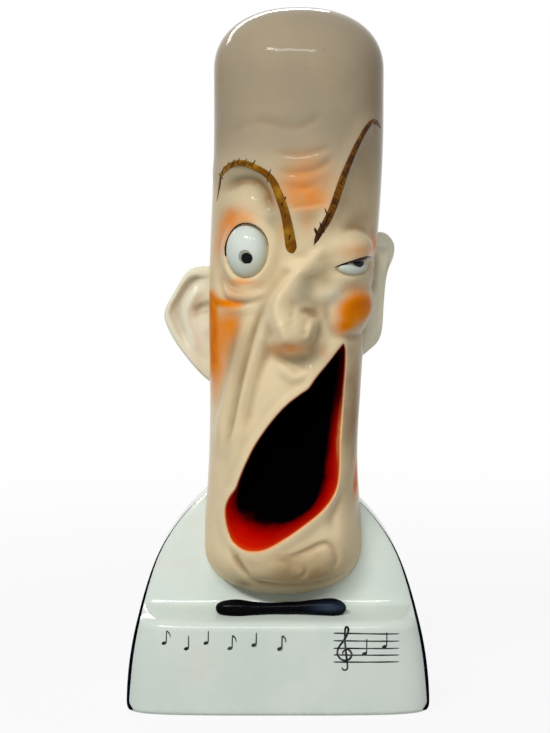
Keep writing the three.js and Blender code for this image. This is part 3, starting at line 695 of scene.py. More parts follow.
def flesh_paint(tree, place):
    """Flesh tint: greyer and darker towards the crown, partly the glaze's tint and partly painted shade; warm
    and brown in the hollows, partly glaze run thick and partly painted shade; grey painted shade and pale
    painted highlights in patches; orange and duller where it is rouged.
    """
    height = node(tree, "ShaderNodeSeparateXYZ", {0: place}, out=2)
    cloud = noise(tree, place, 45.0, 5.0, 0.6)
    # Greyer and darker with height: partly the glaze's own tint towards the crown, partly painted shade
    crown = fit(tree, calc(tree, "ADD", height, times(tree, cloud, 0.007)), 0.112, 0.143)
    colour = blend(tree, crown, FLESH_LIGHT, FLESH_GREY)
    wash = fit(tree, noise(tree, place, 110.0, 4.0), 0.42, 0.75, 0.0, 0.36)
    wash = times(tree, wash, fit(tree, crown, 0.0, 1.0, 1.0, 0.25))
    colour = blend(tree, wash, colour, FLESH_WARM)
    # Pale: the ears' own tint, and painted highlights on the face
    colour = blend(tree, point_value(tree, "pale"), colour, FLESH_PALE)
    # Grey painted shade in grooves and on places turned from the light
    colour = blend(tree, point_value(tree, "grey_shade"), colour, FLESH_SHADE_GREY)
    uneven = fit(tree, noise(tree, place, 130.0, 4.0), 0.3, 0.7, 0.55, 0.95)
    # Glaze run thick and painted shade: in hollows, on the chin, the right jaw and the crown's sides
    colour = blend(tree, times(tree, point_value(tree, "pool_and_shade"), uneven), colour, FLESH_POOL_SHADE)
    rouge = point_value(tree, "rouge")
    patchy = times(tree, rouge, fit(tree, noise(tree, place, 190.0, 5.0), 0.25, 0.65, 0.75, 1.1))
    colour = blend(tree, fit(tree, patchy, 0.03, 0.85), colour, ORANGE)
    colour = blend(tree, fit(tree, patchy, 0.75, 1.1), colour, ORANGE_DEEP)
    colour = specked(tree, place, colour, 170.0, 0.035, 0.5, srgb(90, 70, 50))
    return colour, fit(tree, rouge, 0.45, 0.95, 0.075, 0.012)


def white_paint(tree, place):
    """Cool white, a little warmer in places, with a few specks."""
    cloud = noise(tree, place, 40.0, 5.0, 0.6)
    colour = blend(tree, fit(tree, cloud, 0.35, 0.7), srgb(208, 218, 209), srgb(217, 225, 217))
    warm = fit(tree, noise(tree, place, 75.0, 4.0), 0.55, 0.8, 0.0, 0.35)
    colour = blend(tree, warm, colour, srgb(216, 212, 196))
    return specked(tree, place, colour, 120.0, 0.03, 0.45, srgb(110, 105, 95)), 0.25


# Reds of the mouth by depth from the rim: a lit copy where the wall looks up, and a copy darkened as
# painted shade where it looks down or aside
MOUTH_LIT = [
    (0.0, srgb(228, 186, 146)), (0.03, srgb(232, 150, 90)), (0.065, srgb(226, 66, 14)),
    (0.18, srgb(210, 26, 4)), (0.46, srgb(186, 4, 0)), (0.66, srgb(126, 0, 0)), (0.77, srgb(50, 0, 0)),
    (0.84, srgb(6, 0, 2)),
]
MOUTH_SHADED = [
    (0.0, srgb(212, 178, 142)), (0.026, srgb(150, 60, 40)), (0.07, srgb(98, 4, 2)), (0.25, srgb(40, 0, 0)),
    (0.5, srgb(10, 0, 2)),
]


def mouth_paint(tree, place):
    """Paint of the mouth by depth from the rim: a flesh edge, red that is orange where the coat thins,
    maroon; lit or in painted shade by which way the wall looks, and a painted highlight on the right wall.
    """
    depth = point_value(tree, "mouth_depth")
    uneven = times(tree, calc(tree, "SUBTRACT", noise(tree, place, 300.0, 5.0), 0.5), 0.24)
    level = calc(tree, "ADD", depth, times(tree, uneven, fit(tree, depth, 0.0, 0.5)))
    in_shade, lit_reds = ramp(tree, level, MOUTH_SHADED), ramp(tree, level, MOUTH_LIT)
    colour = blend(tree, point_value(tree, "mouth_lit"), in_shade, lit_reds)
    # The painted highlight on the right wall, broken up by noise
    broken_up = fit(tree, noise(tree, place, 420.0, 4.0), 0.35, 0.65, 0.4, 1.0)
    return blend(tree, times(tree, point_value(tree, "gleam"), broken_up), colour, srgb(255, 200, 112)), 0.15


def throat_paint(tree, place):
    """Dense black of the throat's floor, a little maroon where the paint thins."""
    thin_and_sheen = fit(tree, noise(tree, place, 300.0, 5.0), 0.56, 0.8, 0.0, 0.5)
    return blend(tree, thin_and_sheen, srgb(2, 2, 4), srgb(14, 2, 6)), 0.0


def eye_paint(tree, place):
    """Porcelain white of an eye with a painted iris: rings by the distance from the pupil's middle."""
    gaze = point_value(tree, "gaze", vector=True)
    brush = times(tree, calc(tree, "SUBTRACT", noise(tree, place, 900.0), 0.5), 0.5)
    radius = calc(tree, "ADD", length(tree, gaze), brush)
    cloud = fit(tree, noise(tree, place, 120.0), 0.3, 0.7)
    ground = blend(tree, cloud, srgb(196, 204, 194), srgb(210, 217, 208))
    # Painted shade: the white turns flesh-grey where the eyeball's shade values are high
    ground = blend(tree, point_value(tree, "pool_and_shade"), ground, srgb(184, 178, 144))
    aside = node(tree, "ShaderNodeVectorMath", {0: gaze, 1: (0.35, 0.0, -0.3)}, operation="ADD")
    outer = calc(tree, "ADD", length(tree, aside), brush)
    ring = times(tree, fit(tree, outer, 1.75, 1.5), 0.75)
    colour = blend(tree, ring, ground, srgb(116, 120, 98))
    return blend(tree, fit(tree, radius, 1.4, 1.24), colour, srgb(3, 3, 6)), 0.12


def navy_paint(tree, place):
    """Thick navy-black overglaze paint with thinner, bluer patches, and a painted bluish sheen on the bow's
    right end.
    """
    thin_and_sheen = fit(tree, noise(tree, place, 240.0, 4.0), 0.5, 0.8)
    colour = blend(tree, thin_and_sheen, srgb(1, 1, 4), srgb(8, 12, 26))
    return blend(tree, point_value(tree, "thin_and_sheen"), colour, srgb(58, 76, 96)), 0.04


def fine_paint(name, dark, light, scale=500.0, gloss=0.08):
    """Fine lining paint: thick dark paint that thins to a lighter tone in places."""

    def paint(tree, place):
        """Its colour and gloss."""
        thin_and_sheen = fit(tree, noise(tree, place, scale, 4.0, 0.6), 0.42, 0.68)
        return blend(tree, thin_and_sheen, dark, light), gloss

    return glaze(name, paint, (0.14, 0.3), 0.05)


def biscuit():
    """Unglazed foot: matt body clay with fine grain, kiln-sand pits and a trace of wear."""
    material, tree, shader, place = new_material("biscuit_clay")
    grain = noise(tree, place, 1400.0, 5.0, 0.7)
    cloud = fit(tree, noise(tree, place, 70.0, 4.0), 0.35, 0.7)
    colour = blend(tree, cloud, srgb(216, 211, 198), srgb(200, 192, 174))
    colour = specked(tree, place, colour, 260.0, 0.05, 0.6, srgb(130, 118, 100))
    plug(tree, shader, Base_Color=colour, Normal=bump(tree, grain, 0.35, GRAIN_DEPTH))
    plug(tree, shader, Roughness=fit(tree, grain, 0.3, 0.7, 0.6, 0.85))
    return material


CORK_TONES = [(0.25, srgb(150, 104, 60)), (0.5, srgb(190, 142, 92)), (0.75, srgb(214, 172, 122))]


def cork_bark():
    """Natural cork: fine grains, dark lenticels drawn out along the grain, and open pits."""
    material, tree, shader, place = new_material("cork_bark")
    grains = node(tree, "ShaderNodeTexVoronoi", {"Vector": place, "Scale": 900.0}, out=1)
    tone = noise(tree, place, 420.0, 6.0, 0.65)
    stretched = node(tree, "ShaderNodeMapping", {"Vector": place, "Scale": (1.0, 0.35, 1.0)})
    streaks = fit(tree, noise(tree, stretched, 520.0, 3.0), 0.6, 0.72)
    colour = ramp(tree, tone, CORK_TONES)
    colour = blend(tree, times(tree, fit(tree, grains, 0.2, 0.9), 0.2), colour, srgb(168, 118, 70))
    colour = blend(tree, streaks, colour, srgb(84, 50, 26))
    pits = calc(tree, "SUBTRACT", times(tree, tone, 0.5), streaks)
    plug(tree, shader, Base_Color=colour, Normal=bump(tree, pits, 0.5, PIT_DEPTH))
    plug(tree, shader, Roughness=fit(tree, tone, 0.3, 0.7, 0.7, 0.92))
    return material


flesh = glaze("flesh_glaze_paint", flesh_paint, (0.04, 0.1), 0.06)
white = glaze("white_glaze_body", white_paint, (0.06, 0.16), 0.05)
mouth_red = glaze("mouth_glaze_paint", mouth_paint, (0.14, 0.3), 0.08)
throat_black = glaze("throat_black_paint", throat_paint, (0.6, 0.8), 0.05)
eye_white = glaze("eye_glaze_paint", eye_paint, (0.05, 0.1), 0.02)
navy = glaze("navy_paint_gloss", navy_paint, (0.1, 0.3), 0.1)
brow_ochre = fine_paint("brow_paint", srgb(112, 66, 2), srgb(160, 116, 20), 320.0)
brow_brown = fine_paint("brow_brown_paint", srgb(74, 40, 4), srgb(126, 78, 10), 380.0)
brow_dark = fine_paint("brow_hair_paint", srgb(34, 16, 8), srgb(64, 34, 16))
lid_brown = fine_paint("lid_paint", srgb(26, 10, 10), srgb(78, 32, 22), 420.0)
edge_navy = fine_paint("edge_paint", srgb(3, 4, 10), srgb(20, 24, 44), 300.0, 0.0)
ink = fine_paint("ink_paint", srgb(22, 24, 28), srgb(84, 86, 86), 700.0)
foot_clay = biscuit()
cork_finish = cork_bark()


# Head

FRONT_COLUMNS, BACK_COLUMNS = 206, 62
CHIN_ROWS, FACE_ROWS, BROW_TOP, CROWN_ROWS, CAP_ROWS = 26, 288, 142.0, 8, 24
HOLE_RADIUS, BACK_FROM, FAR = 6.1, 0.2, 6.0
NO_CROSSING = 2.0
FACING_SHARPNESS = 4
HOLLOW_BLUR, HOLLOW_DEPTH = 4, 0.5
WINK_CLEAR, WINK_CLEAR_SIZE = 0.8, (6.0, 3.6)

turns = np.concatenate([
    np.pi * np.arange(BACK_COLUMNS) / BACK_COLUMNS,
    np.pi * (1 + np.arange(FRONT_COLUMNS) / FRONT_COLUMNS),
])
arc = np.arange(1, CHIN_ROWS) / CHIN_ROWS * np.pi / 2
chin_rows = HEAD_FOOT + CHIN_ROUND - CHIN_ROUND * np.cos(arc) ** (2 / ROUND_POWER)
face_rows = np.linspace(HEAD_FOOT + CHIN_ROUND, BROW_TOP, FACE_ROWS)
upper_rows = np.linspace(BROW_TOP, HEAD_TOP - CROWN_ROUND, CROWN_ROWS)[1:]
arc = np.arange(1, CAP_ROWS) / CAP_ROWS * np.pi / 2
crown_rows = HEAD_TOP - CROWN_ROUND + CROWN_ROUND * np.sin(arc) ** (2 / ROUND_POWER)
heights = np.concatenate([chin_rows, face_rows, upper_rows, crown_rows])
spots = np.stack(np.meshgrid(turns, heights, indexing="xy"), axis=-1)

neck_base = np.array([head_x(NECK_HEIGHT), HEAD_Y + HEAD_HALF_DEPTH, NECK_HEIGHT])
neck_axis = np.array([0, np.cos(NECK_TILT), np.sin(NECK_TILT)])
neck_side = np.array([1.0, 0, 0])
neck_down = np.cross(neck_axis, neck_side)


def mouth_field(spots):
    """Signed distance from the lips' line, negative inside the mouth, and the position along that line."""
    turn, z = spots[..., 0].ravel(), spots[..., 1].ravel()
    distance, side, along = beside(face_place(turn, z), lip_line(), FAR)
    field = np.where(np.sin(turn) < 0, distance * side, FAR)
    return field.reshape(spots.shape[:2]), along.reshape(spots.shape[:2])


def hole_field(spots):
    """Distance from the filler neck's axis less the hole's radius, on the back of the head."""
    points = head_surface(spots[..., 0], spots[..., 1], modelled=False)[0] - neck_base
    radius = np.linalg.norm(points - (points @ neck_axis)[..., None] * neck_axis, axis=-1)
    return np.where(np.sin(spots[..., 0]) > BACK_FROM, radius - HOLE_RADIUS, FAR)


def draw_to_line(spots, field):
    """Moves grid points onto the line where a field is zero, so that no edge of the grid crosses it: each
    edge that crosses has its nearer end moved to the crossing, which is found by proportion."""
    best = np.full(field.shape, NO_CROSSING)
    shift = np.zeros_like(spots)
    for axis, step in ((0, 1), (0, -1), (1, 1), (1, -1)):
        other = np.roll(field, -step, axis)
        crosses = field * other < 0
        share = np.where(crosses, field / np.where(crosses, field - other, 1), NO_CROSSING)
        nearer = (share <= 0.5) & (share < best)
        run = np.roll(spots, -step, axis) - spots
        shift[nearer] = (share[..., None] * run)[nearer]
        best[nearer] = share[nearer]
    side = np.where(best <= 0.5, 0, np.sign(field)).astype(int)
    return spots + shift, side


def open_grid(rows, columns, side):
    """Triangles of the head's grid outside a cut line: a square cut from corner to corner is split along the
    cut."""
    squares = grid_squares(rows, columns)
    level = side.ravel()[squares]
    turned = (level[:, 1] == 0) & (level[:, 3] == 0) & (level[:, 0] * level[:, 2] < 0)
    squares[turned] = np.roll(squares[turned], 1, axis=1)
    faces = halves(squares)
    level = side.ravel()[faces]
    return faces[(level >= 0).all(axis=1) & (level > 0).any(axis=1)]


def blur(grid, radius):
    """The mean over a square of grid points, as sums of shifted grids, first along and then across."""
    for axis in (0, 1):
        grid = sum(np.roll(grid, step, axis) for step in range(-radius, radius + 1)) / (2 * radius + 1)
    return grid


def laid_over(layers):
    """Shares laid over each other: one less the product of what each leaves clear."""
    return 1 - np.prod([1 - layer for layer in layers], axis=0)


def rouge_stroke(place, line, width, amounts):
    """A stroke of rouge: amounts along its line times a bell of the distance over the width."""
    path = smooth_line(line, RIDGE_SPACING)
    distance, _, along = beside(place, path, ROUGE_REACH * width)
    share = along / (len(path) - 1)
    return np.interp(share, np.linspace(0, 1, len(amounts)), amounts) * bell(distance / width)


def face_rouge(place):
    """How much orange is brushed on at each place of the face: patches and strokes, laid over each other, and
    a little more where one is thick."""
    x, h = place.T
    at, size, amount = ROUGE_BALL
    frown = bell((x - FROWN_X) / FROWN_WIDTH) * ease(h, *FROWN_RISE) * (1 - ease(h, *FROWN_FALL))
    layers = [FROWN * frown, amount * plateau(reach_of(place, at, size))]
    layers += soft_patches(place, ROUGE_PATCHES)
    layers += [rouge_stroke(place, *spec) for spec in ROUGE_STROKES]
    cover = laid_over([np.clip(layer, 0, 1) * ROUGE_COVER for layer in layers])
    return cover + ROUGE_THICK_SHARE * np.clip(np.max(layers, axis=0) - ROUGE_THICK_FROM, 0, None)


def grey_shade_at(place):
    """How much grey painted shade lies at each place of the face: soft patches and lines, laid over each
    other.
    """
    lines = [ridge_height(place, line, amount, width, width) for line, width, amount in GREY_SHADE_LINES]
    return laid_over(soft_patches(place, GREY_SHADE_PATCHES) + lines)


def neck_rings(profile, columns):
    """Rings about the filler neck's axis from pairs of radius and distance along it."""
    turn = np.arange(columns) * 2 * np.pi / columns
    radius, along = np.asarray(profile, float).T
    circle = np.cos(turn)[:, None] * neck_side + np.sin(turn)[:, None] * neck_down
    return neck_base + radius[:, None, None] * circle + along[:, None, None] * neck_axis


field, _ = mouth_field(spots)
spots, mouth_side = draw_to_line(spots, field)
field = hole_field(spots)
spots, hole_side = draw_to_line(spots, field)
rows, columns = spots.shape[:2]
head_points, relief, places = head_surface(spots[..., 0], spots[..., 1])
faces = open_grid(rows, columns, np.minimum(mouth_side, hole_side))
flat_points = head_points.reshape(-1, 3)

# The pouch behind the filler hole closes the head's skin inside the collar's wall: radius and distance along
# the neck's axis of its rings, and how deep it ends
POUCH = np.array([
    (6.0, -1.6), (5.9, -3.2), (5.9, -5.2), (7.4, -6.6), (9.0, -9.0), (9.4, -12.0), (8.0, -15.0), (4.5, -17.0),
])
POUCH_DEPTH = 17.6
hole_edge = np.flatnonzero(hole_side.ravel() == 0)
offset = flat_points[hole_edge] - neck_base
hole_edge = hole_edge[np.argsort(np.arctan2(offset @ neck_down, offset @ neck_side))]
offset = flat_points[hole_edge] - neck_base
circle = offset - (offset @ neck_axis)[:, None] * neck_axis
circle /= np.linalg.norm(circle, axis=1, keepdims=True)
pouch = neck_base + POUCH[:, :1, None] * circle + POUCH[:, 1:, None] * neck_axis
pouch_foot = neck_base - POUCH_DEPTH * neck_axis
pouch_start = len(flat_points)
pouch_end = pouch_start + pouch[..., 0].size
pouch_numbers = np.vstack([hole_edge, np.arange(pouch_start, pouch_end).reshape(pouch.shape[:2])])
after = np.roll(pouch_numbers, -1, axis=1)
squares = np.stack([pouch_numbers[:-1], after[:-1], after[1:], pouch_numbers[1:]], axis=-1).reshape(-1, 4)
pole_foot, pole_top = pouch_end + 1, pouch_end + 2
ring = np.arange(columns)
last_ring = ring + (rows - 1) * columns
poles = np.array([[head_x(level), HEAD_Y, level] for level in (HEAD_FOOT, HEAD_TOP)])
all_points = np.vstack([flat_points, pouch.reshape(-1, 3), pouch_foot, poles])
all_faces = np.vstack([
    faces,
    halves(squares)[:, [0, 2, 1]],
    fan(pouch_numbers[-1], pouch_end)[:, ::-1],
    fan(ring, pole_foot)[:, ::-1],
    fan(last_ring, pole_top),
])

# Paint values of the head's points: rouge; glaze run thick in hollows and pooled patches, with painted
# shade there and on sides turned from the light; grey painted shade; pale painted highlights
flat_places = places.reshape(-1, 2)
facing = np.clip(-np.sin(spots[..., 0]) * FACING_SHARPNESS, 0, 1).ravel()
# Painted shade in the relief's hollows, found by blurring it, partly glaze run thick; less of it by the
# winking eye
hollow = np.clip((blur(relief, HOLLOW_BLUR) - relief) / HOLLOW_DEPTH, 0, 1).ravel() * facing
hollow *= 1 - WINK_CLEAR * bell(reach_of(flat_places, WINK_EYE["at"], WINK_CLEAR_SIZE))
pools_and_shade = laid_over(soft_patches(flat_places, POOL_SHADE_PATCHES)) * facing
values = {
    "rouge": face_rouge(flat_places) * facing,
    "pool_and_shade": laid_over([hollow, pools_and_shade]),
    "grey_shade": grey_shade_at(flat_places) * facing,
    "pale": np.max(soft_patches(flat_places, HIGHLIGHT_PATCHES), axis=0) * facing,
}
bare = np.zeros(len(all_points) - len(flat_points))
used, numbers = np.unique(all_faces, return_inverse=True)
head_shape = all_points[used], numbers.reshape(all_faces.shape)
values = {key: np.concatenate([value, bare])[used] for key, value in values.items()}
make_piece("head", head_shape, flesh, ("face_shell", "head_back_shell"), values=values)


# Mouth lining

ROLL_ROWS, WALL_ROWS, FLOOR_ROWS = 5, 16, 10
WALL_POWER, KNOT_STEP = 1.15, 0.02

# Paint levels at the end of the lips' roll and of the wall, and from where the black begins
ROLL_LEVEL, WALL_LEVEL, BLACK_LEVEL = 0.05, 0.9, 0.84

# The darker corner of the lips: amount, place, size, the levels over which it comes and where it ends
CORNER, CORNER_AT, CORNER_SIZE, CORNER_RISE, CORNER_END = 0.16, (-12.0, 18.0), (4.0, 6.0), (0.08, 0.3), 0.83

# Where the wall is in painted shade: it looks across by so much over these heights, and all of it higher up
# by a share
SHADE_ACROSS, SHADE_HEIGHTS, SHADE_HIGHER, SHADE_SHARE = (0.1, 0.5), (20, 27), (40, 47), 0.8

# The painted highlight on the right wall: middle height and spread, how far it looks aside, its level and
# spread
GLEAM_HEIGHT, GLEAM_SPREAD, GLEAM_ASIDE, GLEAM_LEVEL, GLEAM_DEPTH = 37.0, 5.0, (0.5, 0.9), 0.12, 0.1

_, along = mouth_field(spots)
lip_edge = np.flatnonzero(mouth_side.ravel() == 0)
lip_edge = lip_edge[np.argsort(along.ravel()[lip_edge])]
rim = flat_points[lip_edge]
knot = along.ravel()[lip_edge] / LIP_STEPS
run = curve_at(LIPS, knot + KNOT_STEP, True) - curve_at(LIPS, knot - KNOT_STEP, True)
run /= np.linalg.norm(run, axis=1, keepdims=True)
inward = np.stack([run[:, 1], 0 * run[:, 0], -run[:, 0]], axis=1)
back = np.array([0, 1.0, 0])
roll = (np.arange(1, ROLL_ROWS + 1) / ROLL_ROWS * np.pi / 2)[:, None, None]
roll_rings = rim + LIP_EDGE * (np.sin(roll) * inward + (1 - np.cos(roll)) * back)
throat = curve_at(THROAT_FLOOR, knot, True)
throat_z = FACE_BASE + throat[:, 1]
throat_y = np.full(len(throat), MOUTH_FLOOR_Y)
floor_ring = np.stack([head_x(throat_z) + throat[:, 0], throat_y, throat_z], axis=1)
down = (np.arange(1, WALL_ROWS + 1) / WALL_ROWS)[:, None, None]
drawn = np.concatenate([down ** WALL_POWER, down, down ** WALL_POWER], axis=2)
wall_rings = roll_rings[-1] + (floor_ring - roll_rings[-1]) * drawn
middle_z = FACE_BASE + MOUTH_MIDDLE[1]
floor_middle = np.array([head_x(middle_z) + MOUTH_MIDDLE[0], MOUTH_FLOOR_Y + MOUTH_FLOOR_DISH, middle_z])
inside = (np.arange(1, FLOOR_ROWS) / FLOOR_ROWS)[:, None, None]
floor_rings = mix(floor_ring, floor_middle, inside)
rings = np.concatenate([rim[None], roll_rings, wall_rings, floor_rings])
count = rings.shape[1]
lining_faces = np.vstack([
    lattice(len(rings), count)[:, ::-1],
    fan(np.arange(count) + (len(rings) - 1) * count, len(rings) * count)[:, ::-1],
])
level = np.concatenate([
    np.linspace(0, ROLL_LEVEL, ROLL_ROWS + 1), np.linspace(ROLL_LEVEL, WALL_LEVEL, WALL_ROWS + 1)[1:],
    np.ones(FLOOR_ROWS - 1),
])[:, None]
lip_height = rim[:, 2] - FACE_BASE
corner = CORNER * bell(reach_of(np.stack([rim[:, 0] - HEAD_X, lip_height], axis=1), CORNER_AT, CORNER_SIZE))
shaded = level + corner * ease(level, *CORNER_RISE) * (level < CORNER_END)
# Share of the wall painted as lit: less where it looks across and higher up, which are in painted shade
in_shade = ease(inward[:, 0], *SHADE_ACROSS) * ease(lip_height, *SHADE_HEIGHTS)
lit_share = (1 - in_shade) * (1 - SHADE_SHARE * ease(lip_height, *SHADE_HIGHER))
gleam = bell((lip_height - GLEAM_HEIGHT) / GLEAM_SPREAD) * ease(-inward[:, 0], *GLEAM_ASIDE)
lining_values = {
    "mouth_depth": np.append(np.minimum(shaded, 1), 1.0),
    "mouth_lit": np.append(np.tile(lit_share, len(rings)), 0.0),
    "gleam": np.append(gleam * bell((level - GLEAM_LEVEL) / GLEAM_DEPTH), 0.0),
}
lining_shape = np.vstack([rings.reshape(-1, 3), floor_middle]), lining_faces
lining = make_piece("mouth_lining", lining_shape, mouth_red, ("mouth_liner",),
                    values=lining_values)
lining.data.materials.append(throat_black)
on_floor = (np.append(np.repeat(level, count), 1)[lining_faces] > BLACK_LEVEL).all(axis=1)
lining.data.polygons.foreach_set("material_index", on_floor.astype(np.int32))


# Eyes

EYE_ROWS, EYE_COLUMNS = 40, 64
EYE_BACK, BEYOND = 9, (0.7, 1.15)
WIDE_PUPIL = (1.75, -1.3)
WINK_PUPIL = (0.7, 1.25)
WINK_IRIS = 1.4


def beyond(x):
    """A soft rise past the edge of an ellipse: the hump's opposite."""
    return ease(x, *BEYOND)


def eyeball(name, eye, pupil, stands_for, shades, iris=1.0):
    """An ellipsoid bedded in the face and turned to look out of it, with places about its pupil and soft
    painted shade about, or beyond, ellipses on its front, of which the strongest counts."""
    z = FACE_BASE + eye["at"][1]
    centre = np.array([head_x(z) + eye["centre"][0], eye["centre"][1], z])
    swing = np.arange(1, EYE_ROWS) / EYE_ROWS * np.pi
    turn = np.arange(EYE_COLUMNS) * 2 * np.pi / EYE_COLUMNS
    half = np.array(eye["half"])
    ball = np.stack([
        np.sin(swing)[:, None] * np.cos(turn),
        np.cos(swing)[:, None] * np.ones(EYE_COLUMNS),
        np.sin(swing)[:, None] * np.sin(turn),
    ], axis=-1) * half
    cos, sin = np.cos(eye["turn"]), np.sin(eye["turn"])
    spin = np.array([[cos, sin, 0], [-sin, cos, 0], [0, 0, 1]])
    local, faces = closed_skin(ball, np.array([0, half[1], 0]), np.array([0, -half[1], 0]))
    depth = np.where(local[:, 1] < 0, 0, EYE_BACK)
    gaze = np.stack([(local[:, 0] - pupil[0]) / iris, depth, local[:, 2] - pupil[1]], axis=1)
    front = local[:, [0, 2]]
    pool_and_shade = np.max([amount * fall(reach_of(front, at, size)) for at, size, amount, fall in shades], axis=0)
    values = {"gaze": gaze, "pool_and_shade": pool_and_shade}
    make_piece(name, (local @ spin + centre, faces), eye_white, (stands_for,), values=values)


# Painted shade on the eyeballs: at the wide eye's lower right, and towards the rims that meet the lids
WIDE_SHADES = [((3.0, -4.0), (2.6, 2.6), 0.35, bell), ((0.3, 0.9), (5.0, 6.4), 0.7, beyond)]
WINK_SHADES = [((-0.9, 0.4), (3.8, 2.1), 0.9, beyond)]
eyeball("wide_eye", WIDE_EYE, WIDE_PUPIL, "open_eyeball", WIDE_SHADES)
eyeball("wink_eye", WINK_EYE, WINK_PUPIL, "winking_eyeball", WINK_SHADES, WINK_IRIS)


# Ears

# Each ear: its side, root, place deep, sweep back, thickness, middle and depth of its hollow, outline and
# folds, across from the root and up from the face's base
LEFT_EAR = {
    "side": -1, "root": 17.6, "y": -1.0, "sweep": 0.15, "thickness": 5.4, "hollow": (5.6, 65.6), "depth": 0.9,
    "outline": [(-2.4, 75.3), (1.4, 75.6), (5.2, 75.3), (7.5, 73.1), (9.7, 69.4), (11.7, 65.8), (12.0, 62.6),
                (9.4, 57.2), (4.9, 51.4), (1.1, 47.8), (-2.4, 46.6), (-2.8, 56), (-2.8, 67)],
    "folds": [
        ([(0.6, 73), (4.2, 72.6), (7.0, 69.6), (8.8, 65.6), (8.2, 61.6), (5.6, 56.4)], -0.8, 1.2),
        ([(0.6, 69.4), (4.0, 69.2), (6.2, 66), (6.6, 62), (4.8, 57.6), (2, 53.8)], 0.8, 1.3),
        ([(-1.8, 65.8), (1.4, 66), (3.8, 65), (4.4, 62.6)], -1.8, 1.2),
        ([(-1, 61.8), (1.6, 60.6), (3.2, 58.6)], 0.7, 1.3),
    ],
}
RIGHT_EAR = {
    "side": 1, "root": 17.4, "y": -1.0, "sweep": 1.0, "thickness": 4.0, "hollow": (4.2, 71.5), "depth": 0.9,
    "outline": [(-1.5, 82.6), (2, 83.2), (5.4, 83.4), (8.6, 83), (11, 81.4), (11.7, 79.6), (10.9, 77.4),
                (9, 75.2), (7.6, 72.6), (6.8, 69), (6.2, 65), (5.8, 61), (5.0, 58), (2.8, 55.8), (-1.6, 54.2),
                (-3.2, 57), (-3, 64), (-2.6, 73)],
    "folds": [
        ([(1, 80), (4.6, 80.4), (7.6, 78.6), (6.6, 74.6), (5, 70)], 1.2, 1.1),
        ([(1, 77), (4, 77), (4.6, 73.6), (3.4, 68)], -1.7, 1.2),
    ],
}
EAR_OUTSIDE = [(0.0, 0.42), (0.35, 0.42), (0.6, 0.4), (0.92, 0.25), (1, -0.08), (0.95, -0.42), (0.86, -0.5)]
EAR_HOLLOW = [(0.76, 0.25), (0.66, 0.8), (0.4, 1), (0.0, 1.0)]
EAR_ROOT_SHARE, EAR_PALE = 0.3, 1.0
EAR_ENDS, EAR_LEAST_SHARE, EAR_INSIDE = 0.2, 0.01, np.array([0.6, 0.78])
# Painted shade, partly glaze run thick, in the grooves of the ear's folds: its share, and the groove depth for
# all of it
EAR_POOL_SHADE, EAR_POOL_SHADE_DEPTH = 0.6, 0.9
EAR_RINGS, EAR_COLUMNS = 60, 140


def ear(name, spec):
    """Rings of one smooth outline, from the middle of the back over the rim to the middle of the hollow: each
    has its share of the outline and its depth, which runs out towards the root, and folds lie over the
    hollow."""
    profile = np.array(
        [(share, depth * spec["thickness"]) for share, depth in EAR_OUTSIDE]
        + [(share, depth * spec["depth"] - spec["thickness"] / 2) for share, depth in EAR_HOLLOW]
    )
    section = curve_at(profile, np.linspace(EAR_ENDS, len(profile) - 1 - EAR_ENDS, EAR_RINGS))
    around = np.linspace(0, len(spec["outline"]), EAR_COLUMNS, endpoint=False)
    outline = curve_at(spec["outline"], around, closed=True)
    middle = np.array(spec["hollow"])
    flat = mix(middle, outline[None], np.clip(section[:, :1, None], EAR_LEAST_SHARE, None))
    reach = flat.reshape(-1, 2)
    rise = sum(ridge_height(reach, line, height, width, width) for line, height, width in spec["folds"])
    rise = rise.reshape(flat.shape[:2])
    inside = ease(np.arange(EAR_RINGS), *(EAR_RINGS * EAR_INSIDE))[:, None]
    # Painted shade in the grooves of the folds inside the hollow
    pool_and_shade = np.clip(-rise / EAR_POOL_SHADE_DEPTH, 0, 1) * inside * EAR_POOL_SHADE
    depth = section[:, 1:] - inside * rise
    depth = depth * mix(EAR_ROOT_SHARE, 1, ease(flat[..., 0], 0, middle[0]))
    cos, sin = np.cos(spec["side"] * spec["sweep"]), np.sin(spec["side"] * spec["sweep"])
    root_x = head_x(FACE_BASE + middle[1]) + spec["side"] * spec["root"]
    out = spec["side"] * flat[..., 0]
    rings = np.stack([
        root_x + cos * out - sin * depth, spec["y"] + sin * out + cos * depth, FACE_BASE + flat[..., 1],
    ], axis=-1)
    if spec["side"] > 0:
        rings, pool_and_shade = rings[:, ::-1], pool_and_shade[:, ::-1]
    shape = closed_skin(rings)
    zero = np.zeros(len(shape[0]))
    values = {"rouge": zero, "pool_and_shade": np.append(pool_and_shade, [0, 0]), "pale": zero + EAR_PALE}
    make_piece(name, shape, flesh, (name,), values=values)


ear("left_ear", LEFT_EAR)
ear("right_ear", RIGHT_EAR)


# Body

BODY_COLUMNS = 220
SHELF_PROFILE = [
    (23, 19.6), (23, 20.4), (22.8, 21.2), (22.2, 21.9), (21, 22.4), (18.5, 22.8), (14.5, 23.3),
    (11.6, 23.7), (10.5, 24.0), (10.1, 24.5), (9.75, 25.2), (9.4, 26.2),
]
PANEL_FULL, PANEL_FULL_HEIGHT, PANEL_FULL_SPREAD = 0.6, 37.0, 9.0
PLINTH_FROM, PLINTH_TOP, PANEL_FROM, PANEL_SHORT, TOP_ROUND = 2.0, 19.2, 26.6, 0.3, 0.15
FOOT_ROWS, PLINTH_ROWS, PANEL_ROWS, PANEL_ENDS, SHELF_SPACING = 8, 24, 70, 0.02, 0.28
LEAST_HALF_WIDTH = 0.2
DRAFT_DEEP = (-0.85, -0.35)

# The foot's inner edge, from the ceiling down: height and how much the wall is cut away
FOOT_INNER = [(7.0, 0), (0.3, 0), (0.05, 0.25), (0, 0.6)]


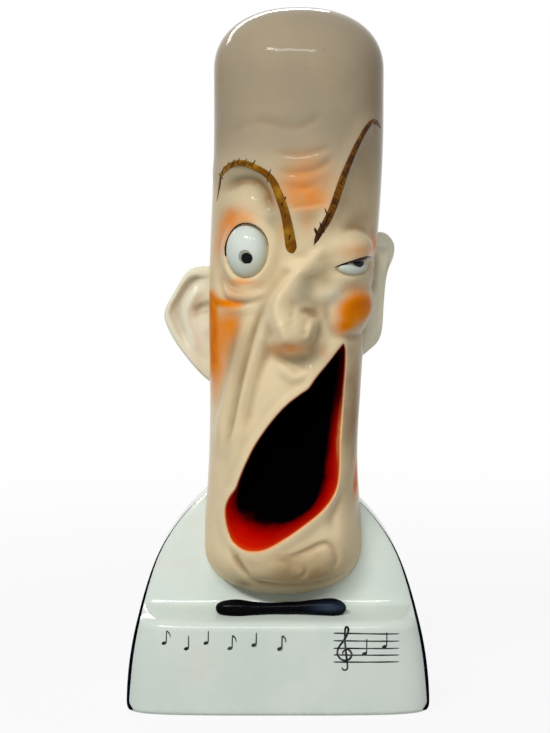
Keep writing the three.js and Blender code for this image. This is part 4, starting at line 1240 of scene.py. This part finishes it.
def body_half_width(z):
    """The body's half width at a height: half an ellipse, a little fuller at the shirt panel."""
    fuller = PANEL_FULL * bell((z - PANEL_FULL_HEIGHT) / PANEL_FULL_SPREAD)
    return BODY_HALF_WIDTH * np.sqrt(np.clip(1 - (z / SHOULDER_HEIGHT) ** 2, 0, None)) + fuller


def body_back(z):
    """How deep the body's back lies at a height."""
    return mix(BODY_BACK, BODY_TOP_BACK, (z / SHOULDER_HEIGHT) ** 2)


def shirt_front(z):
    """How far the sloping shirt panel stands forward at a height."""
    return mix(SHIRT_FRONT, SHIRT_TOP_FRONT, (z - SHELF_TOP) / (SHOULDER_HEIGHT - SHELF_TOP))


def body_section(turn):
    """Shares across and deep round a superellipse whose front and back panels bow out a little."""
    across = signed_power(np.cos(turn), 2 / BODY_POWER)
    deep = signed_power(np.sin(turn), 2 / BODY_POWER) * (1 - FRONT_BULGE * across ** 2)
    return across, deep


def drawn_in(across, deep):
    """Shares across, eased in by a small share just behind the front corners."""
    return across * (1 - BACK_DRAFT * ease(deep, *DRAFT_DEEP))


def body_rows():
    """Height, section height, inset and front of each level section, from the foot's inner edge to the
    shoulders' top: the foot's round is a quarter circle, the shelf a smooth line, the shirt front a slope."""
    foot = np.linspace(0, np.pi / 2, FOOT_ROWS)
    inner = [(height, 0, BODY_WALL - cut, PLINTH_FRONT) for height, cut in FOOT_INNER]
    rounded = [(FOOT_ROUND * (1 - np.cos(a)), 0, FOOT_ROUND * (1 - np.sin(a)), PLINTH_FRONT) for a in foot]
    plinth = [(z, z, 0, PLINTH_FRONT) for z in np.linspace(PLINTH_FROM, PLINTH_TOP, PLINTH_ROWS)]
    shelf = [(z, z, 0, front) for front, z in smooth_line(SHELF_PROFILE, SHELF_SPACING)]
    rise = np.sin(np.linspace(PANEL_ENDS, np.pi / 2 - PANEL_ENDS, PANEL_ROWS))
    panel = [(z, z, 0, shirt_front(z)) for z in mix(PANEL_FROM, SHOULDER_HEIGHT - PANEL_SHORT, rise)]
    return np.array(inner + rounded + plinth + shelf + panel)


body_turn = (np.arange(BODY_COLUMNS) + 0.5) * 2 * np.pi / BODY_COLUMNS
across, deep = body_section(body_turn)
z, section_z, inset, front = body_rows().T[..., None]
half_width = np.maximum(body_half_width(section_z) - inset, LEAST_HALF_WIDTH)
reach = np.where(deep < 0, front - inset, body_back(section_z) - inset)
rings = np.stack([half_width * drawn_in(across, deep), reach * deep, z + 0 * across], axis=-1)
top = rings[-1].mean(0) + [0, 0, TOP_ROUND]
make_piece("shirt_body", closed_skin(rings, top=top), white,
           ("body_front_shell", "body_back_shell"))
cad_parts["base_floor"].data.materials.clear()
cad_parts["base_floor"].data.materials.append(foot_clay)


def plinth_surface(x, z):
    """The plinth's front at a place across and up: the section's superellipse, bowed, at that height."""
    share = np.clip(x / body_half_width(z), -0.999, 0.999)
    path = smooth_line(SHELF_PROFILE, 0.1)
    front = np.interp(z, path[:, 1], path[:, 0])
    deep = (1 - np.abs(share) ** BODY_POWER) ** (1 / BODY_POWER) * (1 - FRONT_BULGE * share ** 2)
    return np.stack([x, -front * deep, z], axis=1)


PLINTH_STEP = 0.05
INK_THICKNESS, DOT_THICKNESS, DOT_STEPS, DOT_ENDS = 0.05, 0.06, 9, 0.98

# A note: half sizes and tilt of its head, foot and lean of its stem, line of its flag, half widths of both
NOTE_HEAD, NOTE_TILT, STEM_FOOT, STEM_LEAN = (0.62, 0.42), 0.35, (0.5, 0.1), 0.55
NOTE_FLAG = [(0, 0), (0.7, -0.7), (0.9, -1.7)]
STEM_WIDTHS, FLAG_WIDTHS = [0.15, 0.13], [0.2, 0.15, 0.08]


def on_plinth(place):
    """Points of the plinth's front at places across and up, and the normals there."""
    return surface_frame(plinth_surface, place[:, 0], place[:, 1], PLINTH_STEP, PLINTH_STEP)


def plinth_stroke(line, widths, spacing=0.3, blunt=0.1):
    """A stroke of ink on the plinth."""
    return paint_stroke(on_plinth, line, widths, INK_THICKNESS, spacing, blunt)


def dot(at, size, tilt):
    """A filled oval note head: a short fat stroke."""
    step = np.array([np.cos(tilt), np.sin(tilt)]) * size[0]
    points, normals = on_plinth(np.array(at) + np.linspace(-1, 1, DOT_STEPS)[:, None] * step)
    half_width = size[1] * np.sqrt(1 - np.linspace(-DOT_ENDS, DOT_ENDS, DOT_STEPS) ** 2)
    return stroke(points, normals, half_width, DOT_THICKNESS)


def quaver(x, z, stem, flag):
    """A note: an oval head, a stem and, for some, a short flag."""
    tip_x, tip_z = x + STEM_LEAN, z + stem
    stem_line = [(x + STEM_FOOT[0], z + STEM_FOOT[1]), (tip_x, tip_z)]
    strokes = [dot((x, z), NOTE_HEAD, NOTE_TILT), plinth_stroke(stem_line, STEM_WIDTHS)]
    if flag:
        flag_line = [(tip_x + across, tip_z + up) for across, up in NOTE_FLAG]
        strokes.append(plinth_stroke(flag_line, FLAG_WIDTHS))
    return strokes


# The small stave: heights of its lines at the left and right ends, the places across where each line is
# drawn through, with how far it has bent there, and its half widths
STAVE_LINES = [(20.0, 19.5), (18.2, 17.8), (16.4, 16.1), (14.8, 14.5), (13.1, 12.9)]
STAVE_PLACES = [(12.9, 0), (20.4, 0.45), (28.4, 1)]
STAVE_WIDTHS = [0.16, 0.2, 0.15, 0.19, 0.13]
CLEF = [
    (14.9, 11.9), (15.3, 11.2), (16.2, 11.5), (16.1, 13.4), (15.8, 16), (15.6, 19), (15.7, 21),
    (16.1, 21.4), (16.4, 20.6), (15.6, 18.6), (14.2, 16.6), (13.9, 14.9), (15, 13.6), (16.6, 13.7),
    (17.2, 15), (16.3, 16.1), (15.2, 15.6), (15.2, 14.7),
]
CLEF_WIDTHS = [0.18, 0.26, 0.22, 0.3, 0.22, 0.26, 0.18]

# Notes: place across and up, length of the stem and whether it has a flag, two on the stave and six loose
NOTES = [
    (20.2, 15.0, 3.6, False), (24.9, 16.6, 3.6, False), (-26.6, 17.4, 3.0, True), (-21.4, 16.2, 3.2, False),
    (-16.8, 17.6, 3.0, False), (-11.2, 16.4, 3.1, True), (-5.6, 17.2, 3.0, False), (0.4, 16.3, 3.2, True),
]
signs = []
for left, right in STAVE_LINES:
    line = [(x, mix(left, right, bent)) for x, bent in STAVE_PLACES]
    signs.append(plinth_stroke(line, STAVE_WIDTHS, 0.5, 0.02))
signs.append(plinth_stroke(CLEF, CLEF_WIDTHS, 0.25, 0.03))
for note in NOTES:
    signs += quaver(*note)
make_piece("music_signs", join(signs), ink)

EDGE_OUTER, EDGE_HOOK, EDGE_FOOT, EDGE_HOOK_TOP = 0.43 * np.pi, 0.08 * np.pi, 0.45, 2.6
EDGE_TOP, EDGE_THICKNESS = 47.5, 0.06
EDGE_WIDTHS = [(0.4, 0.04), (2, 0.05), (8, 0.055), (20, 0.05), (30, 0.042), (40, 0.028), (47.5, 0.012)]


def edge_line(side):
    """The painted line along a side edge of the body: flat ovals on the section's corner, from a hook at the
    foot upwards, whose half widths are shares of the turn round the body."""
    low = [(PLINTH_FRONT, v) for v in np.linspace(EDGE_FOOT ** 0.5, PLINTH_TOP ** 0.5, 44) ** 2]
    panel = [(shirt_front(v), v) for v in np.linspace(27, EDGE_TOP, 50)]
    line = np.vstack([low, smooth_line(SHELF_PROFILE, 0.4), panel])
    level = line[:, 1]

    def surface(u, v):
        """The body's surface at a turn and a height, with its round foot."""
        across, deep = body_section(u)
        below = FOOT_ROUND - np.clip(v, 0, FOOT_ROUND)
        inset = FOOT_ROUND - np.sqrt(FOOT_ROUND ** 2 - below ** 2)
        front = np.interp(v, level, line[:, 0]) - inset
        return np.stack([(body_half_width(v) - inset) * drawn_in(across, deep), front * deep, v], axis=1)

    width = np.pi * np.interp(level, *np.array(EDGE_WIDTHS).T) * stroke_width(len(line), [1], 0.03)
    round_turn = np.arange(STROKE_SIDES) * 2 * np.pi / STROKE_SIDES
    hook = EDGE_HOOK * (1 - ease(level, EDGE_FOOT, EDGE_HOOK_TOP))
    middle = 1.5 * np.pi + side * (EDGE_OUTER - width - hook)
    turn = (middle[:, None] + width[:, None] * np.cos(round_turn)).ravel()
    points, normals = surface_frame(surface, turn, np.repeat(level, STROKE_SIDES), TURN_STEP, PLINTH_STEP)
    rise = np.tile(EDGE_THICKNESS * np.sin(round_turn), len(line))
    rings = (points + normals * rise[:, None]).reshape(len(line), STROKE_SIDES, 3)
    return closed_skin(rings[:, ::-1])


make_piece("edge_lines", join([edge_line(-1), edge_line(1)]), edge_navy)


# Bow: a dog-bone roll bedded on the shelf

BOW_HALF_LENGTH, BOW_END_RADIUS, BOW_WAIST_RADIUS = 15.4, 2.3, 1.35
BOW_X, BOW_Y, BOW_HEIGHT = 0.7, -16.2, 24.5
BOW_ROWS, BOW_COLUMNS = 120, 48
BOW_SWELL, BOW_END_POWER, BOW_LIFT, BOW_LIFT_RATE = (0.1, 0.85), 8, 0.18, 3.1
BOW_WAVES = [(0.03, 9, 0.6), (0.02, 17, 0)]
# A painted bluish sheen on the front of the bow's right end: share, place and size
BOW_SHEEN, BOW_SHEEN_AT, BOW_SHEEN_SIZE = 0.6, (11.5, 0.5), (3.4, 0.9)


def bow():
    """Round sections along the bow's length: the radius grows from the waist to the ends, which close in a
    blunt curve, and slow waves make the roll look pressed by hand."""
    along = -np.cos(np.linspace(0, np.pi, BOW_ROWS + 1))[1:-1]
    swell = mix(BOW_WAIST_RADIUS, BOW_END_RADIUS, ease(np.abs(along), *BOW_SWELL))
    swell *= sum((size * np.sin(rate * along + shift) for size, rate, shift in BOW_WAVES), 1)
    radius = swell * np.sqrt(1 - along ** BOW_END_POWER)
    turn = np.arange(BOW_COLUMNS) * 2 * np.pi / BOW_COLUMNS
    lift = BOW_LIFT * np.sin(BOW_LIFT_RATE * along)
    rings = np.stack([
        BOW_X + BOW_HALF_LENGTH * along[:, None] + 0 * turn,
        BOW_Y + radius[:, None] * np.cos(turn),
        BOW_HEIGHT + lift[:, None] + radius[:, None] * np.sin(turn),
    ], axis=-1)
    left = np.array([BOW_X - BOW_HALF_LENGTH, BOW_Y, rings[0, :, 2].mean()])
    right = np.array([BOW_X + BOW_HALF_LENGTH, BOW_Y, rings[-1, :, 2].mean()])
    return closed_skin(rings, left, right)


shape = bow()
face = shape[0][:, [0, 2]] - [BOW_X, BOW_HEIGHT]
# Painted sheen on the front of the bow's right end
thin_and_sheen = BOW_SHEEN * bell(reach_of(face, BOW_SHEEN_AT, BOW_SHEEN_SIZE)) * (shape[0][:, 1] < BOW_Y)
make_piece("bow_tie", shape, navy, ("bow_tie",), values={"thin_and_sheen": thin_and_sheen})


# Filler collar and cork: profiles are pairs of radius and distance along the neck's axis

NECK_COLUMNS = 96
NECK_FLARE = [(8.2, -2.2), (8.6, -0.9), (8.0, -0.3), (7.5, 0.5), (7.15, 1.3)]
CORK_SIDE_ENDS, CORK_ROUGH = 0.9, 0.012
CORK_RATES, CORK_SHIFTS = np.array([4.1, 3.7, 4.3]), np.array([0, 1, 2])


def bore(s):
    """The bore's radius at a distance along its axis."""
    return BORE_RADIUS + BORE_TAPER * s


def collar():
    """A ring about the neck's axis: a foot that flares into the head, a rounded lip and the tapered bore."""
    lip = np.linspace(-np.pi / 2, np.pi / 2, 16)
    lip_middle = NECK_RISE - NECK_LIP
    outside = [(NECK_RADIUS, -NECK_SUNK)] + NECK_FLARE + [(NECK_RADIUS, 1.8)]
    outside += [(NECK_RADIUS + NECK_LIP * np.cos(a), lip_middle + NECK_LIP * np.sin(a)) for a in lip]
    mouth = [(bore(NECK_RISE) + 0.8, NECK_RISE - 0.02), (bore(NECK_RISE) + 0.35, NECK_RISE - 0.15)]
    mouth += [(bore(NECK_RISE - 0.6), NECK_RISE - 0.6)]
    inside = [(bore(s), s) for s in np.linspace(NECK_RISE - 1.2, -NECK_SUNK, 10)]
    rings = neck_rings(outside + mouth + inside, NECK_COLUMNS)
    return rings.reshape(-1, 3), lattice(len(rings), NECK_COLUMNS, close_rows=True)


shape = collar()
bare = np.zeros(len(shape[0]))
values = {"rouge": bare, "pool_and_shade": bare}
make_piece("filler_collar", shape, flesh, ("filler_neck",), values=values)


def cork():
    """A tapered plug about the neck's axis with softened edges, its side and ends roughened by slow waves."""
    foot, head_end = NECK_RISE - CORK_SEATED, NECK_RISE + CORK_PROUD
    low_radius, high_radius = bore(foot) - CORK_CLEARANCE, bore(head_end) - CORK_CLEARANCE
    soft = np.linspace(0, np.pi / 2, 7)
    far, near = CORK_CHAMFER * (1 - np.sin(soft)), CORK_CHAMFER * (1 - np.cos(soft))
    low = list(zip(low_radius - far, foot + near))
    high = list(zip(high_radius - near, head_end - far))
    straight = np.linspace(foot + CORK_SIDE_ENDS, head_end - CORK_SIDE_ENDS, 36)
    side = [(bore(s) - CORK_CLEARANCE, s) for s in straight]
    flat_low = [(r, foot) for r in (1.2, 2.6, 3.6)]
    flat_high = [(r, head_end) for r in (3.9, 2.6, 1.2)]
    rings = neck_rings(flat_low + low + side + high + flat_high, NECK_COLUMNS)
    wave = np.sin(rings * CORK_RATES + CORK_SHIFTS).prod(axis=-1)
    middle = rings.mean(axis=1, keepdims=True)
    rings = middle + (rings - middle) * (1 - CORK_ROUGH * np.abs(wave)[..., None])
    return closed_skin(rings, neck_base + foot * neck_axis, neck_base + head_end * neck_axis)


make_piece("cork", cork(), cork_finish, ("cork_stopper",), body="stopper")


# Painted lines of the face: lines, half widths along them, thickness, spacing and bluntness of the ends

LEFT_BROW = [
    (-18.4, 91.6), (-17.9, 95.2), (-16.9, 98), (-14.9, 100.1), (-12.5, 100.8), (-9.4, 99.9), (-5.9, 97.5),
    (-3.9, 93.5), (-2.1, 88.1), (-0.4, 80.2),
]
RIGHT_BROW = [
    (4.6, 82.4), (5.6, 85), (6.9, 87.8), (8.2, 91.5), (9.7, 97), (11.5, 102), (13.1, 105.6),
    (14.8, 108.6), (16.6, 110.1), (18.2, 109.7), (19.2, 108.4),
]
LEFT_BROW_WIDTHS = [0.2, 0.4, 0.6, 0.7, 0.75, 0.85, 1.0, 1.1, 1.2, 1.35]
RIGHT_BROW_WIDTHS = [0.5, 0.8, 0.92, 0.95, 0.92, 0.88, 0.8, 0.74, 0.68, 0.6, 0.5]
BROW_BRUSH = 0.1, 0.3, 0.05
left_brow = paint_stroke(on_face, LEFT_BROW, LEFT_BROW_WIDTHS, *BROW_BRUSH)
right_brow = paint_stroke(on_face, RIGHT_BROW, RIGHT_BROW_WIDTHS, *BROW_BRUSH)
make_piece("left_brow", left_brow, brow_ochre)
make_piece("right_brow", right_brow, brow_brown)

LEFT_HAIRS = [
    [(-18.3, 92.2), (-17.9, 94.6), (-17.2, 97)], [(-17.5, 96), (-16.9, 98.2), (-15.6, 99.8)],
    [(-16.7, 97.8), (-16.2, 99.9)], [(-15.7, 98.9), (-15.2, 100.9)], [(-14.6, 99.6), (-14, 101.6)],
    [(-13.4, 100.1), (-12.9, 101.9)], [(-11.9, 100), (-11.3, 101.8)], [(-10.2, 99.8), (-9.4, 101.6)],
    [(-6.9, 96.4), (-5.9, 99.6)],
]
BROW_DABS = [
    [(-3.5, 90.6), (-2.9, 92.2), (-2.4, 93.4)], [(-1.4, 83.2), (-1.0, 84.4), (-0.5, 85.2)],
    [(-2.6, 88.4), (-2.2, 89.2)], [(4.5, 82.0), (5.4, 84.2), (6.0, 86)],
    [(4.2, 85.8), (5.0, 84.6), (5.6, 83.6)], [(5.4, 86.8), (6.2, 85.6), (6.6, 84.8)],
    [(5.9, 85.8), (6.8, 88), (7.4, 89.8)],
]
RIGHT_HAIRS = [
    [(4.5, 82.2), (5.6, 85)], [(5.2, 83.4), (6.4, 86.4)], [(5.6, 84.6), (7, 88)],
    [(4.3, 86.2), (5.2, 84.2)], [(5.3, 87.4), (6.2, 85.4)], [(6.4, 86.6), (7.4, 89.4)],
    [(6.2, 90.6), (7, 88.4)], [(7.2, 90.2), (8.2, 92.2)], [(9.2, 96), (9.9, 97.6)],
    [(10.4, 99), (11.4, 101)], [(11.6, 101.4), (12.3, 103.4)], [(12.4, 103.6), (13.2, 105.6)],
    [(13.2, 105.6), (14.2, 107.6)], [(15, 108.3), (15.9, 109.9)], [(17, 109.5), (17.9, 110.4)],
]
HAIR_WIDTHS, DAB_WIDTHS, HAIR_BRUSH = [0.1, 0.2, 0.08], [0.14, 0.34, 0.1], (0.14, 0.2, 0.2)
HATCH_STEP, HATCH_LEAN, HATCH_SPACING, HATCH_HALF_WIDTH = 1.25, 0.75, 0.1, 0.6
HATCH_UNEVEN, HATCH_RATE, HATCH_SIZE_CHANGE, HATCH_SIZE_RATE = 0.35, 5.1, 0.25, 3.7


def hatching(line, first, last):
    """Short slanting strokes across a brow between two shares of its length, a little uneven in place and
    size."""
    path = smooth_line(line, HATCH_SPACING)
    count = int(len(path) * HATCH_SPACING * (last - first) / HATCH_STEP)
    step = np.arange(count)
    at = (first + (last - first) * (step + HATCH_UNEVEN * np.sin(HATCH_RATE * step)) / count) * (len(path) - 1)
    at = np.clip(np.round(at).astype(int), 2, len(path) - 3)
    run = path[at + 2] - path[at - 2]
    run /= np.linalg.norm(run, axis=1, keepdims=True)
    side = np.stack([-run[:, 1], run[:, 0]], axis=1)
    wave = HATCH_SIZE_CHANGE * np.sin(HATCH_SIZE_RATE * step + 1)
    half_width = HATCH_HALF_WIDTH * (1 - HATCH_SIZE_CHANGE + wave)
    half = (side + HATCH_LEAN * run) * half_width[:, None]
    return [[path[k] - offset, path[k] + offset] for k, offset in zip(at, half)]


hatch = hatching(LEFT_BROW, 0.16, 0.42) + hatching(RIGHT_BROW, 0.04, 0.92)
hairs = [paint_stroke(on_face, line, HAIR_WIDTHS, *HAIR_BRUSH) for line in LEFT_HAIRS + RIGHT_HAIRS + hatch]
hairs += [paint_stroke(on_face, line, DAB_WIDTHS, *HAIR_BRUSH) for line in BROW_DABS]
make_piece("brow_hairs", join(hairs), brow_dark)

LID_OUT = 1.04
lid_turn = np.radians(np.linspace(192, 12, 12))
lid_reach = LID_OUT * np.where(np.cos(lid_turn) < 0, WIDE_OUTER, WIDE_OUTLINE[0])
WIDE_LID = np.array(WIDE_EYE["at"]) + np.stack([
    lid_reach * np.cos(lid_turn), LID_OUT * WIDE_OUTLINE[1] * np.sin(lid_turn),
], axis=1)
WIDE_LID_WIDTHS = [0.3, 0.34, 0.28, 0.26, 0.26, 0.22, 0.17, 0.12, 0.08, 0.04]
WINK_LID = [(9.8, 76.7), (11.4, 77.5), (13, 78.1), (14.8, 78.5), (16.6, 78.6), (18.3, 78.4)]
WINK_LID_WIDTHS = [0.12, 0.26, 0.36, 0.52, 0.56, 0.36, 0.14]
lids = [
    paint_stroke(on_face, WIDE_LID, WIDE_LID_WIDTHS, 0.12, 0.25, 0.05),
    paint_stroke(on_face, WINK_LID, WINK_LID_WIDTHS, 0.14, 0.25, 0.08),
]
make_piece("lid_lines", join(lids), lid_brown)


# Stage: pale floor and backdrop, soft lamps and the camera, in metres

STAGE_RINGS, STAGE_COLUMNS = [0.2, 0.6, 1.2, 2.0, 3.0], 64
STAGE_GREY, STAGE_ROUGHNESS = (0.6, 0.6, 0.6, 1), 0.9
STAGE_NEAR, STAGE_FAR, STAGE_NEAR_WHITE = 0.08, 0.4, 0.9
WHITE = (1, 1, 1, 1)
SKY_LIGHT = 0.15


def seen_white(tree):
    """1 for camera, mirror and glass rays, and 0 for the rays that light the object."""
    rays = tree.nodes.new("ShaderNodeLightPath")
    seen = calc(tree, "MAXIMUM", rays.outputs["Is Camera Ray"], rays.outputs["Is Glossy Ray"])
    return calc(tree, "MAXIMUM", seen, rays.outputs["Is Transmission Ray"])


def stage_finish():
    """A pale stage that camera, mirror and glass rays see mostly as white, and that still takes a soft shadow
    near the object."""
    material, tree, shader, place = new_material("stage_paper")
    plug(tree, shader, Base_Color=STAGE_GREY, Roughness=STAGE_ROUGHNESS, Specular_IOR_Level=0.0)
    away = fit(tree, length(tree, place), STAGE_NEAR, STAGE_FAR, STAGE_NEAR_WHITE, 1.0)
    glow = node(tree, "ShaderNodeEmission", {"Color": WHITE, "Strength": 1.0})
    shares = {0: times(tree, seen_white(tree), away), 1: shader.outputs[0], 2: glow}
    paper = node(tree, "ShaderNodeMixShader", shares)
    tree.links.new(paper, tree.nodes["Material Output"].inputs[0])
    return material


stage_turn = np.arange(STAGE_COLUMNS) * 2 * np.pi / STAGE_COLUMNS
circle = np.stack([np.cos(stage_turn), np.sin(stage_turn), 0 * stage_turn], axis=1)
stage_points = np.vstack([np.outer(STAGE_RINGS, circle).reshape(-1, 3), np.zeros(3)])
inner_disc = fan(np.arange(STAGE_COLUMNS), len(stage_points) - 1)
stage_faces = np.vstack([lattice(len(STAGE_RINGS), STAGE_COLUMNS), inner_disc])
floor_mesh = bpy.data.meshes.new("floor")
floor_mesh.from_pydata(stage_points.tolist(), [], stage_faces[:, ::-1].tolist())
floor_mesh.materials.append(stage_finish())
floor = bpy.data.objects.new("floor", floor_mesh)
bpy.context.collection.objects.link(floor)

world = bpy.data.worlds.new("studio")
bpy.context.scene.world = world
world.use_nodes = True
sky = world.node_tree
strength = fit(sky, seen_white(sky), 0, 1, SKY_LIGHT, 1.0, smooth=False)
set_inputs(sky, sky.nodes["Background"], {"Color": WHITE, "Strength": strength})

# Lamps: name, place, height of the point on the axis that it is turned to, size and power
LAMPS = [
    ("key", (-0.41, -0.6, 0.71), 0.08, (0.24, 0.1), 3.5),
    ("front", (-0.06, -0.68, 0.66), 0.09, (0.62, 0.075), 3.7),
    ("fill", (0.7, -0.4, 0.3), 0.08, (0.4, 0.5), 0.4),
    ("back", (-0.3, 0.8, 0.56), 0.08, (0.9, 0.1), 3.4),
]


def lamp(name, place, aim, size, power):
    """A rectangular soft lamp at a place, turned to a height on the object's axis."""
    data = bpy.data.lights.new(name, "AREA")
    data.shape = "RECTANGLE"
    data.size, data.size_y = size
    data.energy = power
    made = bpy.data.objects.new(name, data)
    made.location = place
    toward = np.array([0, 0, aim]) - place
    tilt = np.arccos(-toward[2] / np.linalg.norm(toward))
    made.rotation_euler = (float(tilt), 0, float(np.arctan2(-toward[0], toward[1])))
    bpy.context.collection.objects.link(made)


for spec in LAMPS:
    lamp(*spec)

CAMERA_PLACE, CAMERA_DROP = (0, -0.59553, 0.15512), np.radians(7.0)
PHOTO_WIDTH, PHOTO_HEIGHT = 550, 733
FOCAL_PIXELS = 2507.94
PRINCIPAL = (278.0, 357.39)
camera_data = bpy.data.cameras.new("camera")
camera_data.sensor_width = 36.0
camera_data.lens = FOCAL_PIXELS / PHOTO_HEIGHT * camera_data.sensor_width
camera_data.shift_x = -(PRINCIPAL[0] - PHOTO_WIDTH / 2) / PHOTO_HEIGHT
camera_data.shift_y = -(PHOTO_HEIGHT / 2 - PRINCIPAL[1]) / PHOTO_HEIGHT
camera = bpy.data.objects.new("camera", camera_data)
camera.location = CAMERA_PLACE
camera.rotation_euler = (np.pi / 2 - CAMERA_DROP, 0, 0)
bpy.context.collection.objects.link(camera)
bpy.context.scene.camera = camera
bpy.context.scene.view_settings.view_transform = "Standard"

bpy.context.view_layer.update()
